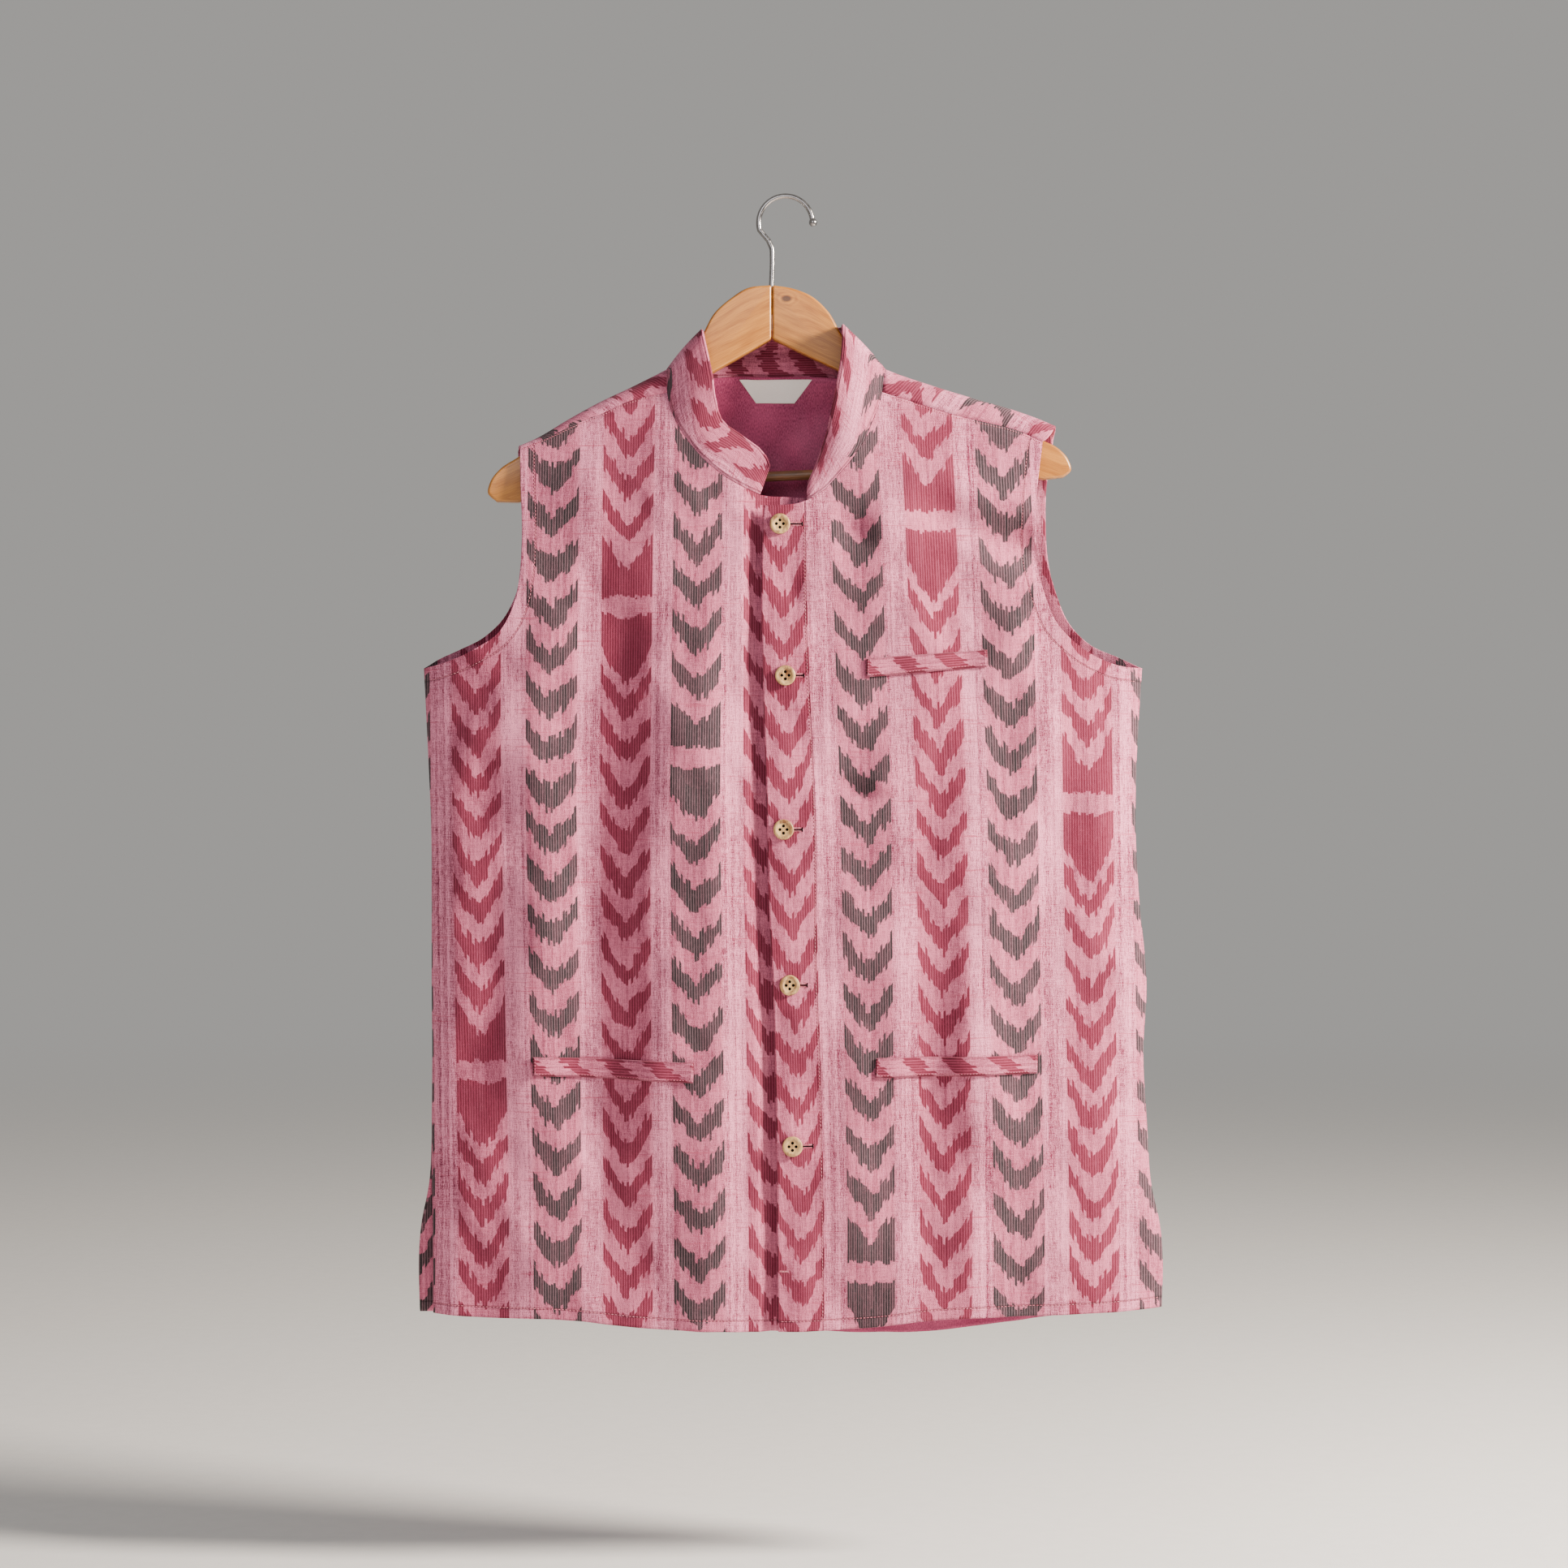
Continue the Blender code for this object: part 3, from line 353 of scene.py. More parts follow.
# The pocket welts, corner by corner from the upper inner one: x, z
WELTS = {
    "chest_welt": ("left", [(68.2, -352.6), (159.3, -345.7), (159.3, -358.0), (67.6, -366.1)]),
    "hip_welt_left": ("left", [(75.5, -654.5), (197.7, -652.7), (197.0, -666.3), (74.3, -669.0)]),
    "hip_welt_right": ("right", [(-184.5, -654.2), (-62.5, -657.6), (-63.1, -672.3), (-184.5, -668.0)]),
}

# The label, sewn under the back neck seam: x, z. The height, x and width of its curled end, and
# the height and length of its ripple
LABEL = [(-29.4, -135.2), (27.6, -135.0), (13.4, -153.4), (-16.4, -153.8)]
LABEL_CURL = (0.9, -24, 3.2)
LABEL_RIPPLE = (0.35, 6.0)

# Soft troughs and ridges in the cloth: panel, x and z of each end, depth (a ridge is negative), width
FOLDS = [
    ("front", 52.0, -236.0, 96.0, -290.0, 2.4, 11.0),
    ("front", 60.0, -226.0, 118.0, -300.0, -2.0, 12.0),
    ("front", 150.0, -208.0, 208.0, -304.0, 4.0, 17.0),
    ("front", 118.0, -214.0, 196.0, -372.0, -2.0, 24.0),
    ("front", -62.0, -232.0, -30.0, -420.0, 2.2, 16.0),
    ("front", -150.0, -206.0, -190.0, -330.0, 3.0, 18.0),
    ("front", 27.0, -431.0, 96.0, -470.0, 1.6, 11.0),
    ("front", 250.0, -560.0, 284.0, -622.0, -2.4, 14.0),
    ("front", -30.0, -620.0, -26.0, -864.0, 2.6, 15.0),
    ("front", -150.0, -700.0, -158.0, -864.0, -3.0, 26.0),
    ("front", -84.0, -712.0, -92.0, -864.0, 2.6, 24.0),
    ("front", 96.0, -716.0, 104.0, -862.0, -3.2, 24.0),
    ("front", 168.0, -700.0, 176.0, -862.0, 3.0, 24.0),
    ("front", 236.0, -690.0, 250.0, -850.0, -2.2, 18.0),
    ("back", -60.0, -170.0, -150.0, -290.0, 3.2, 20.0),
    ("back", 66.0, -172.0, 160.0, -296.0, 3.4, 22.0),
    ("back", -196.0, -320.0, -150.0, -520.0, -2.6, 24.0),
    ("back", 200.0, -322.0, 156.0, -500.0, -2.8, 22.0),
    ("back", -90.0, -660.0, -96.0, -868.0, 3.6, 28.0),
    ("back", 20.0, -690.0, 28.0, -870.0, -3.0, 26.0),
    ("back", 120.0, -650.0, 132.0, -868.0, 3.4, 26.0),
]

# The collar: where its seam passes, and its upper edge there: x, y, z of each
COLLAR = [
    (-11.6, -35.0, -228.1, -5.0, -18.0, -206.0),
    (-25.7, -34.0, -222.3, -13.6, -12.5, -191.7),
    (-39.9, -32.0, -214.0, -27.2, -10.0, -181.5),
    (-55.4, -27.0, -201.0, -39.0, -9.0, -173.0),
    (-65.8, -23.0, -188.8, -44.2, -9.5, -164.0),
    (-73.6, -18.0, -177.0, -47.0, -10.5, -151.5),
    (-79.8, -14.0, -164.4, -49.0, -11.5, -137.1),
    (-83.6, -11.0, -149.0, -53.2, -13.0, -117.9),
    (-85.6, -8.0, -134.8, -56.8, -11.5, -103.0),
    (-NECK_POINT_X, 0.0, -130.4, -57.8, 0.0, -99.2),
    (-85.3, 9.0, -134.5, -57.2, 10.5, -99.4),
    (-84.8, 10.5, -140.9, -56.0, 15.0, -99.2),
    (-68.0, 12.5, -138.0, -48.0, 18.5, -98.4),
    (-40.0, 16.0, -134.0, -29.0, 22.0, -97.6),
    (0.0, 20.0, -133.4, 0.0, 24.0, -97.0),
    (40.0, 16.0, -134.0, 26.0, 22.0, -96.6),
    (68.0, 12.5, -138.0, 42.0, 18.5, -96.2),
    (84.8, 10.5, -141.1, 49.6, 15.0, -95.8),
    (85.3, 9.0, -134.6, 51.0, 10.5, -95.6),
    (NECK_POINT_X, 0.0, -130.6, 51.2, 0.0, -95.6),
    (86.0, -8.0, -135.0, 50.6, -11.5, -99.0),
    (80.6, -11.0, -148.6, 50.2, -13.0, -112.0),
    (77.4, -14.0, -160.0, 48.9, -11.5, -126.5),
    (70.0, -18.0, -177.0, 45.2, -10.5, -146.3),
    (62.0, -23.0, -194.0, 41.0, -9.5, -166.7),
    (50.0, -27.0, -209.0, 36.0, -9.0, -185.3),
    (37.0, -32.0, -224.0, 29.8, -11.0, -203.9),
    (26.5, -34.0, -231.0, 23.4, -16.0, -218.7),
    (16.6, -35.0, -234.8, 17.6, -27.0, -229.4),
]

# The wooden arms: the crown's outline from the joint out, and the free end past the armhole
ARMS = {
    "right": {
        "crown": [
            (JOINT_X, -65.8),
            (-23.0, -68.3),
            (-35.0, -75.8),
            (-48.0, -87.6),
            (-57.0, -103.8),
            (-85.0, -136.0),
        ],
        "rest": (-92.0, -172.0),
        "tip": [
            (-186.0, -189.6),
            (-198.5, -197.8),
            (-211.0, -206.0),
            (-219.0, -216.4),
            (-220.6, -225.0),
            (-214.0, -231.4),
        ],
        "under": [(-198.0, -231.8), (-184.0, -229.4), (-50.0, -133.5)],
    },
    "left": {
        "crown": [
            (JOINT_X, -65.8),
            (14.3, -69.0),
            (27.0, -74.6),
            (39.0, -85.7),
            (50.4, -104.6),
            (85.0, -136.4),
        ],
        "rest": (92.0, 178.0),
        "tip": [
            (190.0, -172.0),
            (202.0, -183.6),
            (214.0, -189.8),
            (222.6, -199.0),
            (224.8, -207.6),
            (219.0, -212.6),
        ],
        "under": [(204.0, -214.4), (186.0, -212.4), (46.6, -130.8)],
    },
}
NOTCH = (JOINT_X, -107.0)

# The hook's wire below its bend, from inside the crown up: x, z
HOOK_STEM = [(-4.4, -88.0), (-4.0, -66.0), (-3.4, -43.0), (-3.6, -38.0), (-6.4, -31.0)]
HOOK_BEND = (196.0, 8.0)

# The hook's rounded end, from the end of its bend on: x and z from there, and thickness
HOOK_TIP = [(0.0, 0.0, 1.0), (0.3, -1.2, 1.45), (0.7, -3.2, 1.6), (1.1, -5.2, 1.0)]

# Landmarks of the grids: the armhole's foot and the neck's corner as shares of the way up, and the
# neck point as a share of the way across the back
FOOT_AT = 0.6
CORNER_AT = 0.8
NECK_SHARE = 0.3
NEAR = 1e-9

# Softer swells, laid out as the folds above, how a fold fades in and out over its length, and the
# crumple over all of the cloth
SWELLS = [
    ("front", -52.0, -190.0, -42.0, -900.0, -5.0, 16.0),
    ("front", -78.0, -190.0, -74.0, -900.0, -6.4, 30.0),
    ("front", -136.0, -160.0, -134.0, -900.0, 9.6, 29.0),
    ("front", -186.0, -180.0, -184.0, -700.0, -4.6, 20.0),
    ("front", -206.0, -330.0, -212.0, -880.0, 2.2, 22.0),
    ("front", -246.0, -380.0, -250.0, -760.0, -2.0, 14.0),
    ("front", 72.0, -205.0, 88.0, -330.0, -4.0, 13.0),
    ("front", 46.0, -226.0, 56.0, -290.0, 2.4, 9.0),
    ("front", 92.0, -200.0, 228.0, -256.0, -8.4, 12.0),
    ("front", 92.0, -230.0, 220.0, -286.0, 8.8, 12.0),
    ("front", 160.0, -262.0, 226.0, -330.0, -2.4, 12.0),
    ("front", 142.0, -380.0, 150.0, -720.0, -5.6, 18.0),
    ("front", 110.0, -420.0, 114.0, -660.0, 3.6, 16.0),
    ("front", 160.0, -620.0, 152.0, -860.0, -5.6, 20.0),
    ("front", 118.0, -640.0, 112.0, -820.0, 5.2, 17.0),
    ("front", 58.0, -420.0, 62.0, -880.0, -2.4, 16.0),
    ("front", 204.0, -380.0, 214.0, -700.0, 2.4, 18.0),
    ("front", 244.0, -372.0, 252.0, -600.0, -2.6, 15.0),
    ("front", 32.0, -430.0, 92.0, -452.0, -1.3, 7.0),
    ("front", 34.0, -442.0, 96.0, -464.0, 1.2, 7.0),
    ("front", 240.0, -576.0, 282.0, -600.0, -2.0, 9.0),
    ("front", -250.0, -398.0, -196.0, -430.0, -1.4, 10.0),
    ("back", -40.0, -200.0, -46.0, -640.0, -2.6, 26.0),
    ("back", 96.0, -330.0, 90.0, -800.0, 2.8, 24.0),
    ("back", -140.0, -480.0, -150.0, -860.0, 2.8, 26.0),
    ("back", 210.0, -500.0, 216.0, -860.0, -2.6, 22.0),
    ("back", -224.0, -420.0, -230.0, -800.0, -2.2, 18.0),
]
FOLD_FADE = 0.35
FOLD_REACH = 1.1
CRUMPLE = 0.3
CRUMPLE_SEEDS = {"front": 7, "back": 8}
CRUMPLE_WAVES = 26
CRUMPLE_LENGTHS = (22, 90)
CRUMPLE_LEAN = 0.55
CRUMPLE_FULL = 60

# The looks' own grids: the longest step in shares across a front and the back, the close lines at
# their edges and hems, the longest steps up each part of a panel, and the lines of the small pieces
FINE = 0.0125
BACK_FINE = 0.0075
FRONT_EDGE_LINES = [0, 0.004, 0.01, 0.02, 0.98, 0.99, 0.996, 1]
BACK_EDGE_LINES = [0, 0.002, 0.005, 0.01]
HEM_LINES = [0, 0.002, 0.005, 0.0085, 0.0095, 0.013, 0.02]
UP_STEPS = (0.0046, 0.006, 0.012)
FLAP_LINES = 12
COLLAR_LINES = 12
RIM_ROUND = 0.22

# Topstitching: how far each line lies in from its edge
HEM_TURN = 7.6
ARMHOLE_TURN = 10.4
COLLAR_TURN = 1.6
STRIP_TURN = 1.5
WELT_TURN = 1.4
SHOULDER_STITCH = 1.3

# Where the lines end: short of the side seam at an armhole and at the hem, beside the lap's edge, and
# the z of both ends of the button strip's line. Then the x between which a hem's distance is taken,
# and a point of the chest, towards which an armhole's line lies in
HOLE_SIDE = 3.0
HEM_SIDE = 2.5
HEM_LAP = {"right": -1.0, "left": 1.5}
HEM_LAP_Z = -860.0
STRIP_ENDS = (-853, -244)
HEM_SPAN = (-300, 320)
CHEST = (100, -400)

# The stitch itself, and the distance that stands for no stitching near
STITCH_PITCH = 2.7
STITCH_LENGTH = 1.9
STITCH_RADIUS = 0.27
STITCH_LIFT = 0.12
FAR = 99.0

# Buttonholes: where each ends, the rows of stitches beside its slit, the bars across its end, and
# the bar tack low on the strip, x of both ends and z
BUTTONHOLE_ENDS = (19.3, 20.5, 19.3, 23.0, 27.3)
HOLE_START = 2.0
HOLE_ROW = 0.85
HOLE_STITCH = 0.75
HOLE_STEP = 0.5
HOLE_BAR = 1.9
HOLE_BAR_STEP = 0.55
SLIT_BAR = (0.2, 1.7)
SLIT_LIFT = 0.4
BAR_TACK = (2.5, 9.0, -816.0)
BAR_TACK_STITCH = 0.8

# How far each button is turned on its thread, in radians
BUTTON_TURNS = (0.3, 1.9, 0.9, 2.6, 1.4)

# The woven repeat: a dyed column's half width, and the pitch of the dark warp threads in it
COLUMN_HALF = 19.2
COLUMN_PITCH = 56.0
DASH_PITCH = 1.92
DASH_FROM = 4.0
DASH_TO = {"red": 20.0, "grey": 21.4}
DASH_DEEPER = 0.04
SHIELD_SHIFT = 7.5
JOIN_HALF = 5.6
TWILL_PITCH = 1.48
BLOCK_TOP = {"red": 54.7, "grey": 43.8}
SHIELD_FOOT = {"red": 32.5, "grey": 22.7}
FAR_REPEATS = 40
FAR_WAY = 1300.0
DYES = {"red": 0.0, "grey": 1.0}

# Dyed columns of the fronts: dye, x at three heights, a join's or a chevron point's z, what that is,
# the repeat along the warp and how far the chevron dips at its middle
WARP_HEIGHTS = (-195.0, -468.0, -779.0)
COLUMNS = {
    "right": [
        ("grey", -285.4, -283.4, -281.0, -468.0, "point", 34.6, 18.0),
        ("red", -229.4, -227.9, -222.0, -664.3, "join", 32.3, 26.0),
        ("grey", -169.6, -171.4, -165.6, -468.0, "point", 34.6, 18.0),
        ("red", -111.6, -114.7, -113.7, -311.5, "join", 33.6, 27.0),
        ("grey", -58.2, -61.6, -57.6, -425.7, "join", 34.9, 19.0),
        ("red", -7.3, -6.1, -2.1, -789.5, "point", 33.8, 27.0),
        ("grey", 49.0, 50.0, 54.0, -560.0, "point", 34.6, 19.0),
    ],
    "left": [
        ("grey", -57.0, -48.0, -38.0, -560.0, "point", 34.6, 19.0),
        ("red", -0.5, 8.7, 19.1, -323.1, "point", 34.9, 30.0),
        ("grey", 59.0, 67.6, 70.6, -815.2, "join", 35.2, 19.0),
        ("red", 112.4, 124.7, 127.7, -246.9, "join", 33.9, 28.0),
        ("grey", 171.9, 178.6, 184.7, -300.8, "point", 35.3, 22.0),
        ("red", 233.8, 236.9, 240.9, -460.6, "join", 32.8, 28.0),
        ("grey", 287.2, 290.3, 296.4, -500.0, "point", 34.8, 20.0),
    ],
}

# The back's joins by column, counted from its middle: z
BACK_JOINS = {-4: -560.0, -3: -300.0, -1: -690.0, 0: -420.0, 2: -610.0, 3: -240.0, 4: -760.0}

# Where the dyed columns lie on the collar, its inner face and the welts
COLLAR_COLUMN = 1.5
COLLAR_SKEW = -0.035
COLLAR_FACING_COLUMN = 0.42
COLLAR_FACING_SHIFT = 11.0
WELT_COLUMN = 17.0
WELT_HEIGHT = 13.5

# Repeat and dip of the chevrons there and on the back
COLLAR_CUT = (34.0, 24.0)
COLLAR_FACING_CUT = (30.0, 14.0)
WELT_CUT = (33.4, 20.0)
BACK_CUT = {"grey": (34.6, 19.0), "red": (33.4, 27.0)}

# The studio, in metres and watts: each light's place, size, power and tint, and the camera
WORLD_TONE = "#e9e6e2"
WORLD_STRENGTH = 0.46
FLOOR_Z = -1.05
FLOOR_RADIUS = 30.0
JACKET_MIDDLE = (0, 0, -0.45)
KEY = ((1.95, -0.80, 0.5), 0.55, 236.0, "#fff4e8")
FILL = ((-0.4, -2.6, 0.7), 1.6, 17.0, "#f6f6ff")
CAMERA_AT = (0.0056, -2.8, -0.447)
SENSOR = 36.0
LENS = 84.0

# The ways that a line of stitches can face
TO_FRONT = np.array([0, -1.0, 0])
TO_BACK = np.array([0, 1.0, 0])

# The setting that a node's mode stands for, by the kind of node
MODES = {
    "Math": "operation",
    "VectorMath": "operation",
    "Attribute": "attribute_name",
    "MapRange": "interpolation_type",
    "TexNoise": "noise_dimensions",
    "TexWhiteNoise": "noise_dimensions",
    "MixRGB": "blend_type",
}


def smooth(at, knots, values):
    """A curve through the values at the knots, each knot's slope taken from its neighbours."""
    at, knots, values = np.asarray(at, float), np.asarray(knots, float), np.asarray(values, float)
    slopes = np.gradient(values, knots, axis=0)
    i = np.clip(np.searchsorted(knots, at) - 1, 0, len(knots) - 2)
    span = knots[i + 1] - knots[i]
    t = np.clip((at - knots[i]) / span, 0, 1)
    if values.ndim > 1:
        t, span = t[..., None], span[..., None]
    start, end = (1 + 2 * t) * (1 - t) ** 2, t * t * (3 - 2 * t)
    leave, arrive = t * (1 - t) ** 2 * span, t * t * (t - 1) * span
    return start * values[i] + end * values[i + 1] + leave * slopes[i] + arrive * slopes[i + 1]


def column(table, key, value, at):
    """A table's value column read at places along its key column."""
    rows = np.array(sorted(table, key=lambda row: row[key]), float)
    return smooth(at, rows[:, key], rows[:, value])


def lengths(line):
    """How far along a line each of its points lies."""
    return np.concatenate([[0], np.cumsum(np.linalg.norm(np.diff(line, axis=0), axis=1))])


def run(points, share):
    """Points at shares of the length of a smooth line through the given ones."""
    points = np.array(points, float)
    along = lengths(points)
    return smooth(np.asarray(share) * along[-1], along, points)


def ease(t):
    """A soft step from 0 to 1."""
    t = np.clip(t, 0, 1)
    return t * t * (3 - 2 * t)


def ridge(x):
    """The height of the shoulder line."""
    return column(RIDGE, 0, 1, x)


def side_x(panel, side, z):
    """The x of a panel's side edge at a height, from the armhole's foot down to the hem."""
    value = 1 + (panel == "back") + 2 * (side == "left")
    return column(SIDES, 0, value, np.minimum(z, FOOT_Z))


def unrolled(drop):
    """The length of cloth from the shoulder line down to a point that lies drop below it."""
    turn = np.arccos(1 - np.clip(drop / TURN_RADIUS, 0, 1)) * TURN_RADIUS
    return np.where(drop < TURN_RADIUS, turn, TURN_RADIUS * (math.pi / 2 - 1) + drop)


def rolled(length):
    """The drop below the shoulder line for a length of cloth, the reverse of unrolled()."""
    quarter = TURN_RADIUS * math.pi / 2
    arc = TURN_RADIUS * (1 - np.cos(np.clip(length / TURN_RADIUS, 0, math.pi / 2)))
    return np.where(length < quarter, arc, TURN_RADIUS + length - quarter)


def fold_depth(panel, x, z):
    """How far the soft creases push a panel inward."""
    total = np.zeros(np.broadcast(x, z).shape)
    for where, x0, z0, x1, z1, depth, width in FOLDS + SWELLS:
        if where != panel:
            continue
        run_x, run_z = x1 - x0, z1 - z0
        length = math.hypot(run_x, run_z)
        along = ((x - x0) * run_x + (z - z0) * run_z) / length
        aside = ((x - x0) * run_z - (z - z0) * run_x) / length
        fade = ease(along / (FOLD_FADE * length))
        fade = fade * ease((length * FOLD_REACH - along) / (FOLD_FADE * length))
        total = total + depth * fade * np.exp(-((aside / width) ** 2))
    return total + crumple(panel, x, z)


def crumple(panel, x, z):
    """A faint unevenness of handled cotton: long low waves, mostly upright."""
    draw = np.random.default_rng(CRUMPLE_SEEDS[panel])
    total = np.zeros(np.broadcast(x, z).shape)
    for _ in range(CRUMPLE_WAVES):
        length = draw.uniform(*CRUMPLE_LENGTHS)
        lean = draw.normal(0, CRUMPLE_LEAN)
        phase = (x * math.cos(lean) + z * math.sin(lean)) * 2 * math.pi / length
        total = total + np.sin(phase + draw.uniform(0, 2 * math.pi)) * length / CRUMPLE_FULL
    return total * CRUMPLE


def stand_off(panel, x, z, drop):
    """The distance of a panel's outer face from the hanger's middle plane."""
    level = column(DEPTHS, 0, 1 + (panel == "back"), z)
    half = np.where(x < 0, -side_x(panel, "right", z), side_x(panel, "left", z))
    share = np.clip(np.abs(x) / half, 0, 1)
    section = (1 - share**SECTION_POWER) ** SECTION_ROUND
    turn = np.sqrt(1 - (1 - np.clip(drop / TURN_RADIUS, 0, 1)) ** 2) * TURN_RADIUS
    fade = ease((1 - share) / SIDE_FADE) * ease(drop / TOP_FADE)
    full = level * section - fold_depth(panel, x, z) * fade
    depth = turn + (full - TURN_RADIUS) * ease(drop / EASE[panel])
    open_by = GAP / 2 + VENT_SPREAD * ease((VENT_TOP_Z - z) / VENT_RAMP)
    return np.hypot(np.maximum(depth, 0), open_by)


def place(panel, side, x, w):
    """The outer point of a panel, where w is the height with the shoulder's turn laid flat."""
    top = ridge(x)
    length = top - w
    drop = rolled(np.abs(length))
    z = top - drop
    depth = stand_off(panel, x, z, drop)
    if panel == "front":
        if side == "right":
            under = ease((x - lap_x(z) + LAP_TUCK_FROM) / LAP_TUCK_RAMP)
            depth = depth - LAP_TUCK * under * ease((LAP_TUCK_TOP_Z - z) / LAP_TUCK_FADE)
        else:
            strip = 1 - ease((x - column(STRIP_EDGE, 0, 1, z) + PLACKET_RAMP / 2) / PLACKET_RAMP)
            depth = depth + PLACKET_RAISE * strip * ease((PLACKET_TOP_Z - z) / PLACKET_FADE)
        return np.stack([x, -depth, z], -1)
    over = ease(-length / OVER_RAMP)
    front = stand_off("front", x, z, drop)
    y = np.where(length >= 0, depth, -(depth + (front - depth) * over))
    return np.stack([x, y, z], -1)


def lap_x(z):
    """The x of the lap's edge at a height."""
    return column(LAP_EDGE, 0, 1, z)


def wall_points(panel, side, x, w, inward):
    """Points of a panel at a distance in from its outer face, held on its own side of the middle."""
    step = 0.02
    hand = np.where(x < 0, -1.0, 1.0)
    along = (place(panel, side, x, w) - place(panel, side, x - hand * step, w)) * hand[..., None]
    up = place(panel, side, x, w + step) - place(panel, side, x, w - step)
    normal = np.cross(along, up)
    normal /= np.linalg.norm(normal, axis=-1, keepdims=True)
    if panel == "back":
        normal = -normal
    outer = place(panel, side, x, w)
    inner = outer - normal * inward
    if panel == "front":
        inner[..., 1] = np.minimum(inner[..., 1], -GAP / 2)
    else:
        by_side = np.abs(inner[..., 0]) > SIDE_SHARE * np.abs(SIDES[-1][1])
        held = by_side & (w < ridge(x) - SHOULDER_CLEAR)
        inner[..., 1] = np.where(held, np.maximum(inner[..., 1], GAP / 2), inner[..., 1])
    return inner


def spread(bottom, top, left, right, across, up):
    """A four-sided patch of points between its edges; bottom and top run along across."""
    u, v = across[None, :, None], up[:, None, None]
    flat = (1 - v) * bottom[None] + v * top[None] + (1 - u) * left[:, None] + u * right[:, None]
    corners = (1 - v) * ((1 - u) * bottom[0] + u * bottom[-1]) + v * ((1 - u) * top[0] + u * top[-1])
    return flat - corners


def to_w(points):
    """Heights with the shoulder's turn laid flat, for points given by x and z on the outer face."""
    points = np.array(points, float)
    top = ridge(points[:, 0])
    points[:, 1] = top - unrolled(top - points[:, 1])
    return points


def side_edge(panel, side, hem, up):
    """A panel's side seam and armhole as x and z, at shares of the way up."""
    armhole = ARMHOLES[panel, side]
    lower = np.clip(up / FOOT_AT, 0, 1)
    z = (hem[0][1] if side == "right" else hem[-1][1]) * (1 - lower) + FOOT_Z * lower
    seam = np.stack([side_x(panel, side, z), z], -1)
    upper = run(armhole, np.clip((up - FOOT_AT) / (1 - FOOT_AT), 0, 1))
    return np.where((up < FOOT_AT)[:, None], seam, upper)


def finer(shares, most):
    """The given shares with even steps added between them, none longer than most."""
    parts = []
    for low, high in zip(shares, shares[1:]):
        parts.append(np.linspace(low, high, math.ceil((high - low) / most) + 1)[:-1])
    return np.concatenate([*parts, shares[-1:]])


def rows_up():
    """Grid lines up a panel: hem to armhole foot, foot to neck corner, and on to the shoulder."""
    hem, foot, neck = UP_STEPS
    low = finer([*HEM_LINES, FOOT_AT], hem)
    middle = finer([FOOT_AT, CORNER_AT], foot)
    high = finer([CORNER_AT, 0.98, 1], neck)
    return np.concatenate([low[:-1], middle[:-1], high])


def front_grid(side):
    """The x and w of one front's grid, from its centre edge out to its side."""
    across, up = finer(FRONT_EDGE_LINES, FINE), rows_up()
    outer_edge = side_edge("front", side, HEM_FRONT, up)
    lower = np.clip(up / CORNER_AT, 0, 1)
    neck = run(NECKLINES[side], np.clip((up - CORNER_AT) / (1 - CORNER_AT), 0, 1))
    corner_x, corner_z = NECKLINES[side][0]
    levels = [column(HEM_FRONT, 0, 1, 0.0), FOOT_Z, corner_z]
    z = np.interp(lower, [0, FOOT_AT / CORNER_AT, 1], levels)
    edge_x = lap_x(z)
    if side == "right":
        miss = corner_x - lap_x(corner_z) - LAP_REACH
        edge_x = edge_x + LAP_REACH + miss * ease((z - UNDERLAP_TURN_Z) / UNDERLAP_TURN)
    centre = np.stack([edge_x, z], -1)
    inner_edge = np.where((up < CORNER_AT)[:, None], centre, neck)
    bottom_x = inner_edge[0, 0] + (outer_edge[0, 0] - inner_edge[0, 0]) * across
    bottom = np.stack([bottom_x, column(HEM_FRONT, 0, 1, bottom_x)], -1)
    top = run(SHOULDER_SEAMS[side], across)
    edges = [to_w(edge) for edge in (bottom, top, inner_edge, outer_edge)]
    return spread(*edges, across, up)


def back_across():
    """Grid lines across the back: right shoulder, neck, left shoulder."""
    lead = finer([*BACK_EDGE_LINES, NECK_SHARE], BACK_FINE)
    middle = finer([NECK_SHARE, 1 - NECK_SHARE], BACK_FINE)[1:-1]
    return np.concatenate([lead, middle, 1 - lead[::-1]])


def in_neck(across):
    """Which grid lines of the back lie between the neck points."""
    return (across > NECK_SHARE + NEAR) & (across < 1 - NECK_SHARE - NEAR)


def back_grid(across, up):
    """The x and w of the back's grid from hem to shoulder line and neck seam."""
    edges = [side_edge("back", side, HEM_BACK, up) for side in ("right", "left")]
    bottom_x = edges[0][0, 0] + (edges[1][0, 0] - edges[0][0, 0]) * across
    bottom = np.stack([bottom_x, column(HEM_BACK, 0, 1, bottom_x)], -1)
    tips = (ARMHOLES["back", "right"][-1][0], ARMHOLES["back", "left"][-1][0])
    stops = [0, NECK_SHARE, 1 - NECK_SHARE, 1]
    x = np.interp(across, stops, [tips[0], -NECK_POINT_X, NECK_POINT_X, tips[1]])
    z = np.where(in_neck(across), column(NECK_SEAM, 0, 1, x), ridge(x) - TURN_RADIUS)
    top = np.stack([x, z], -1)
    return spread(*[to_w(edge) for edge in (bottom, top, *edges)], across, up)


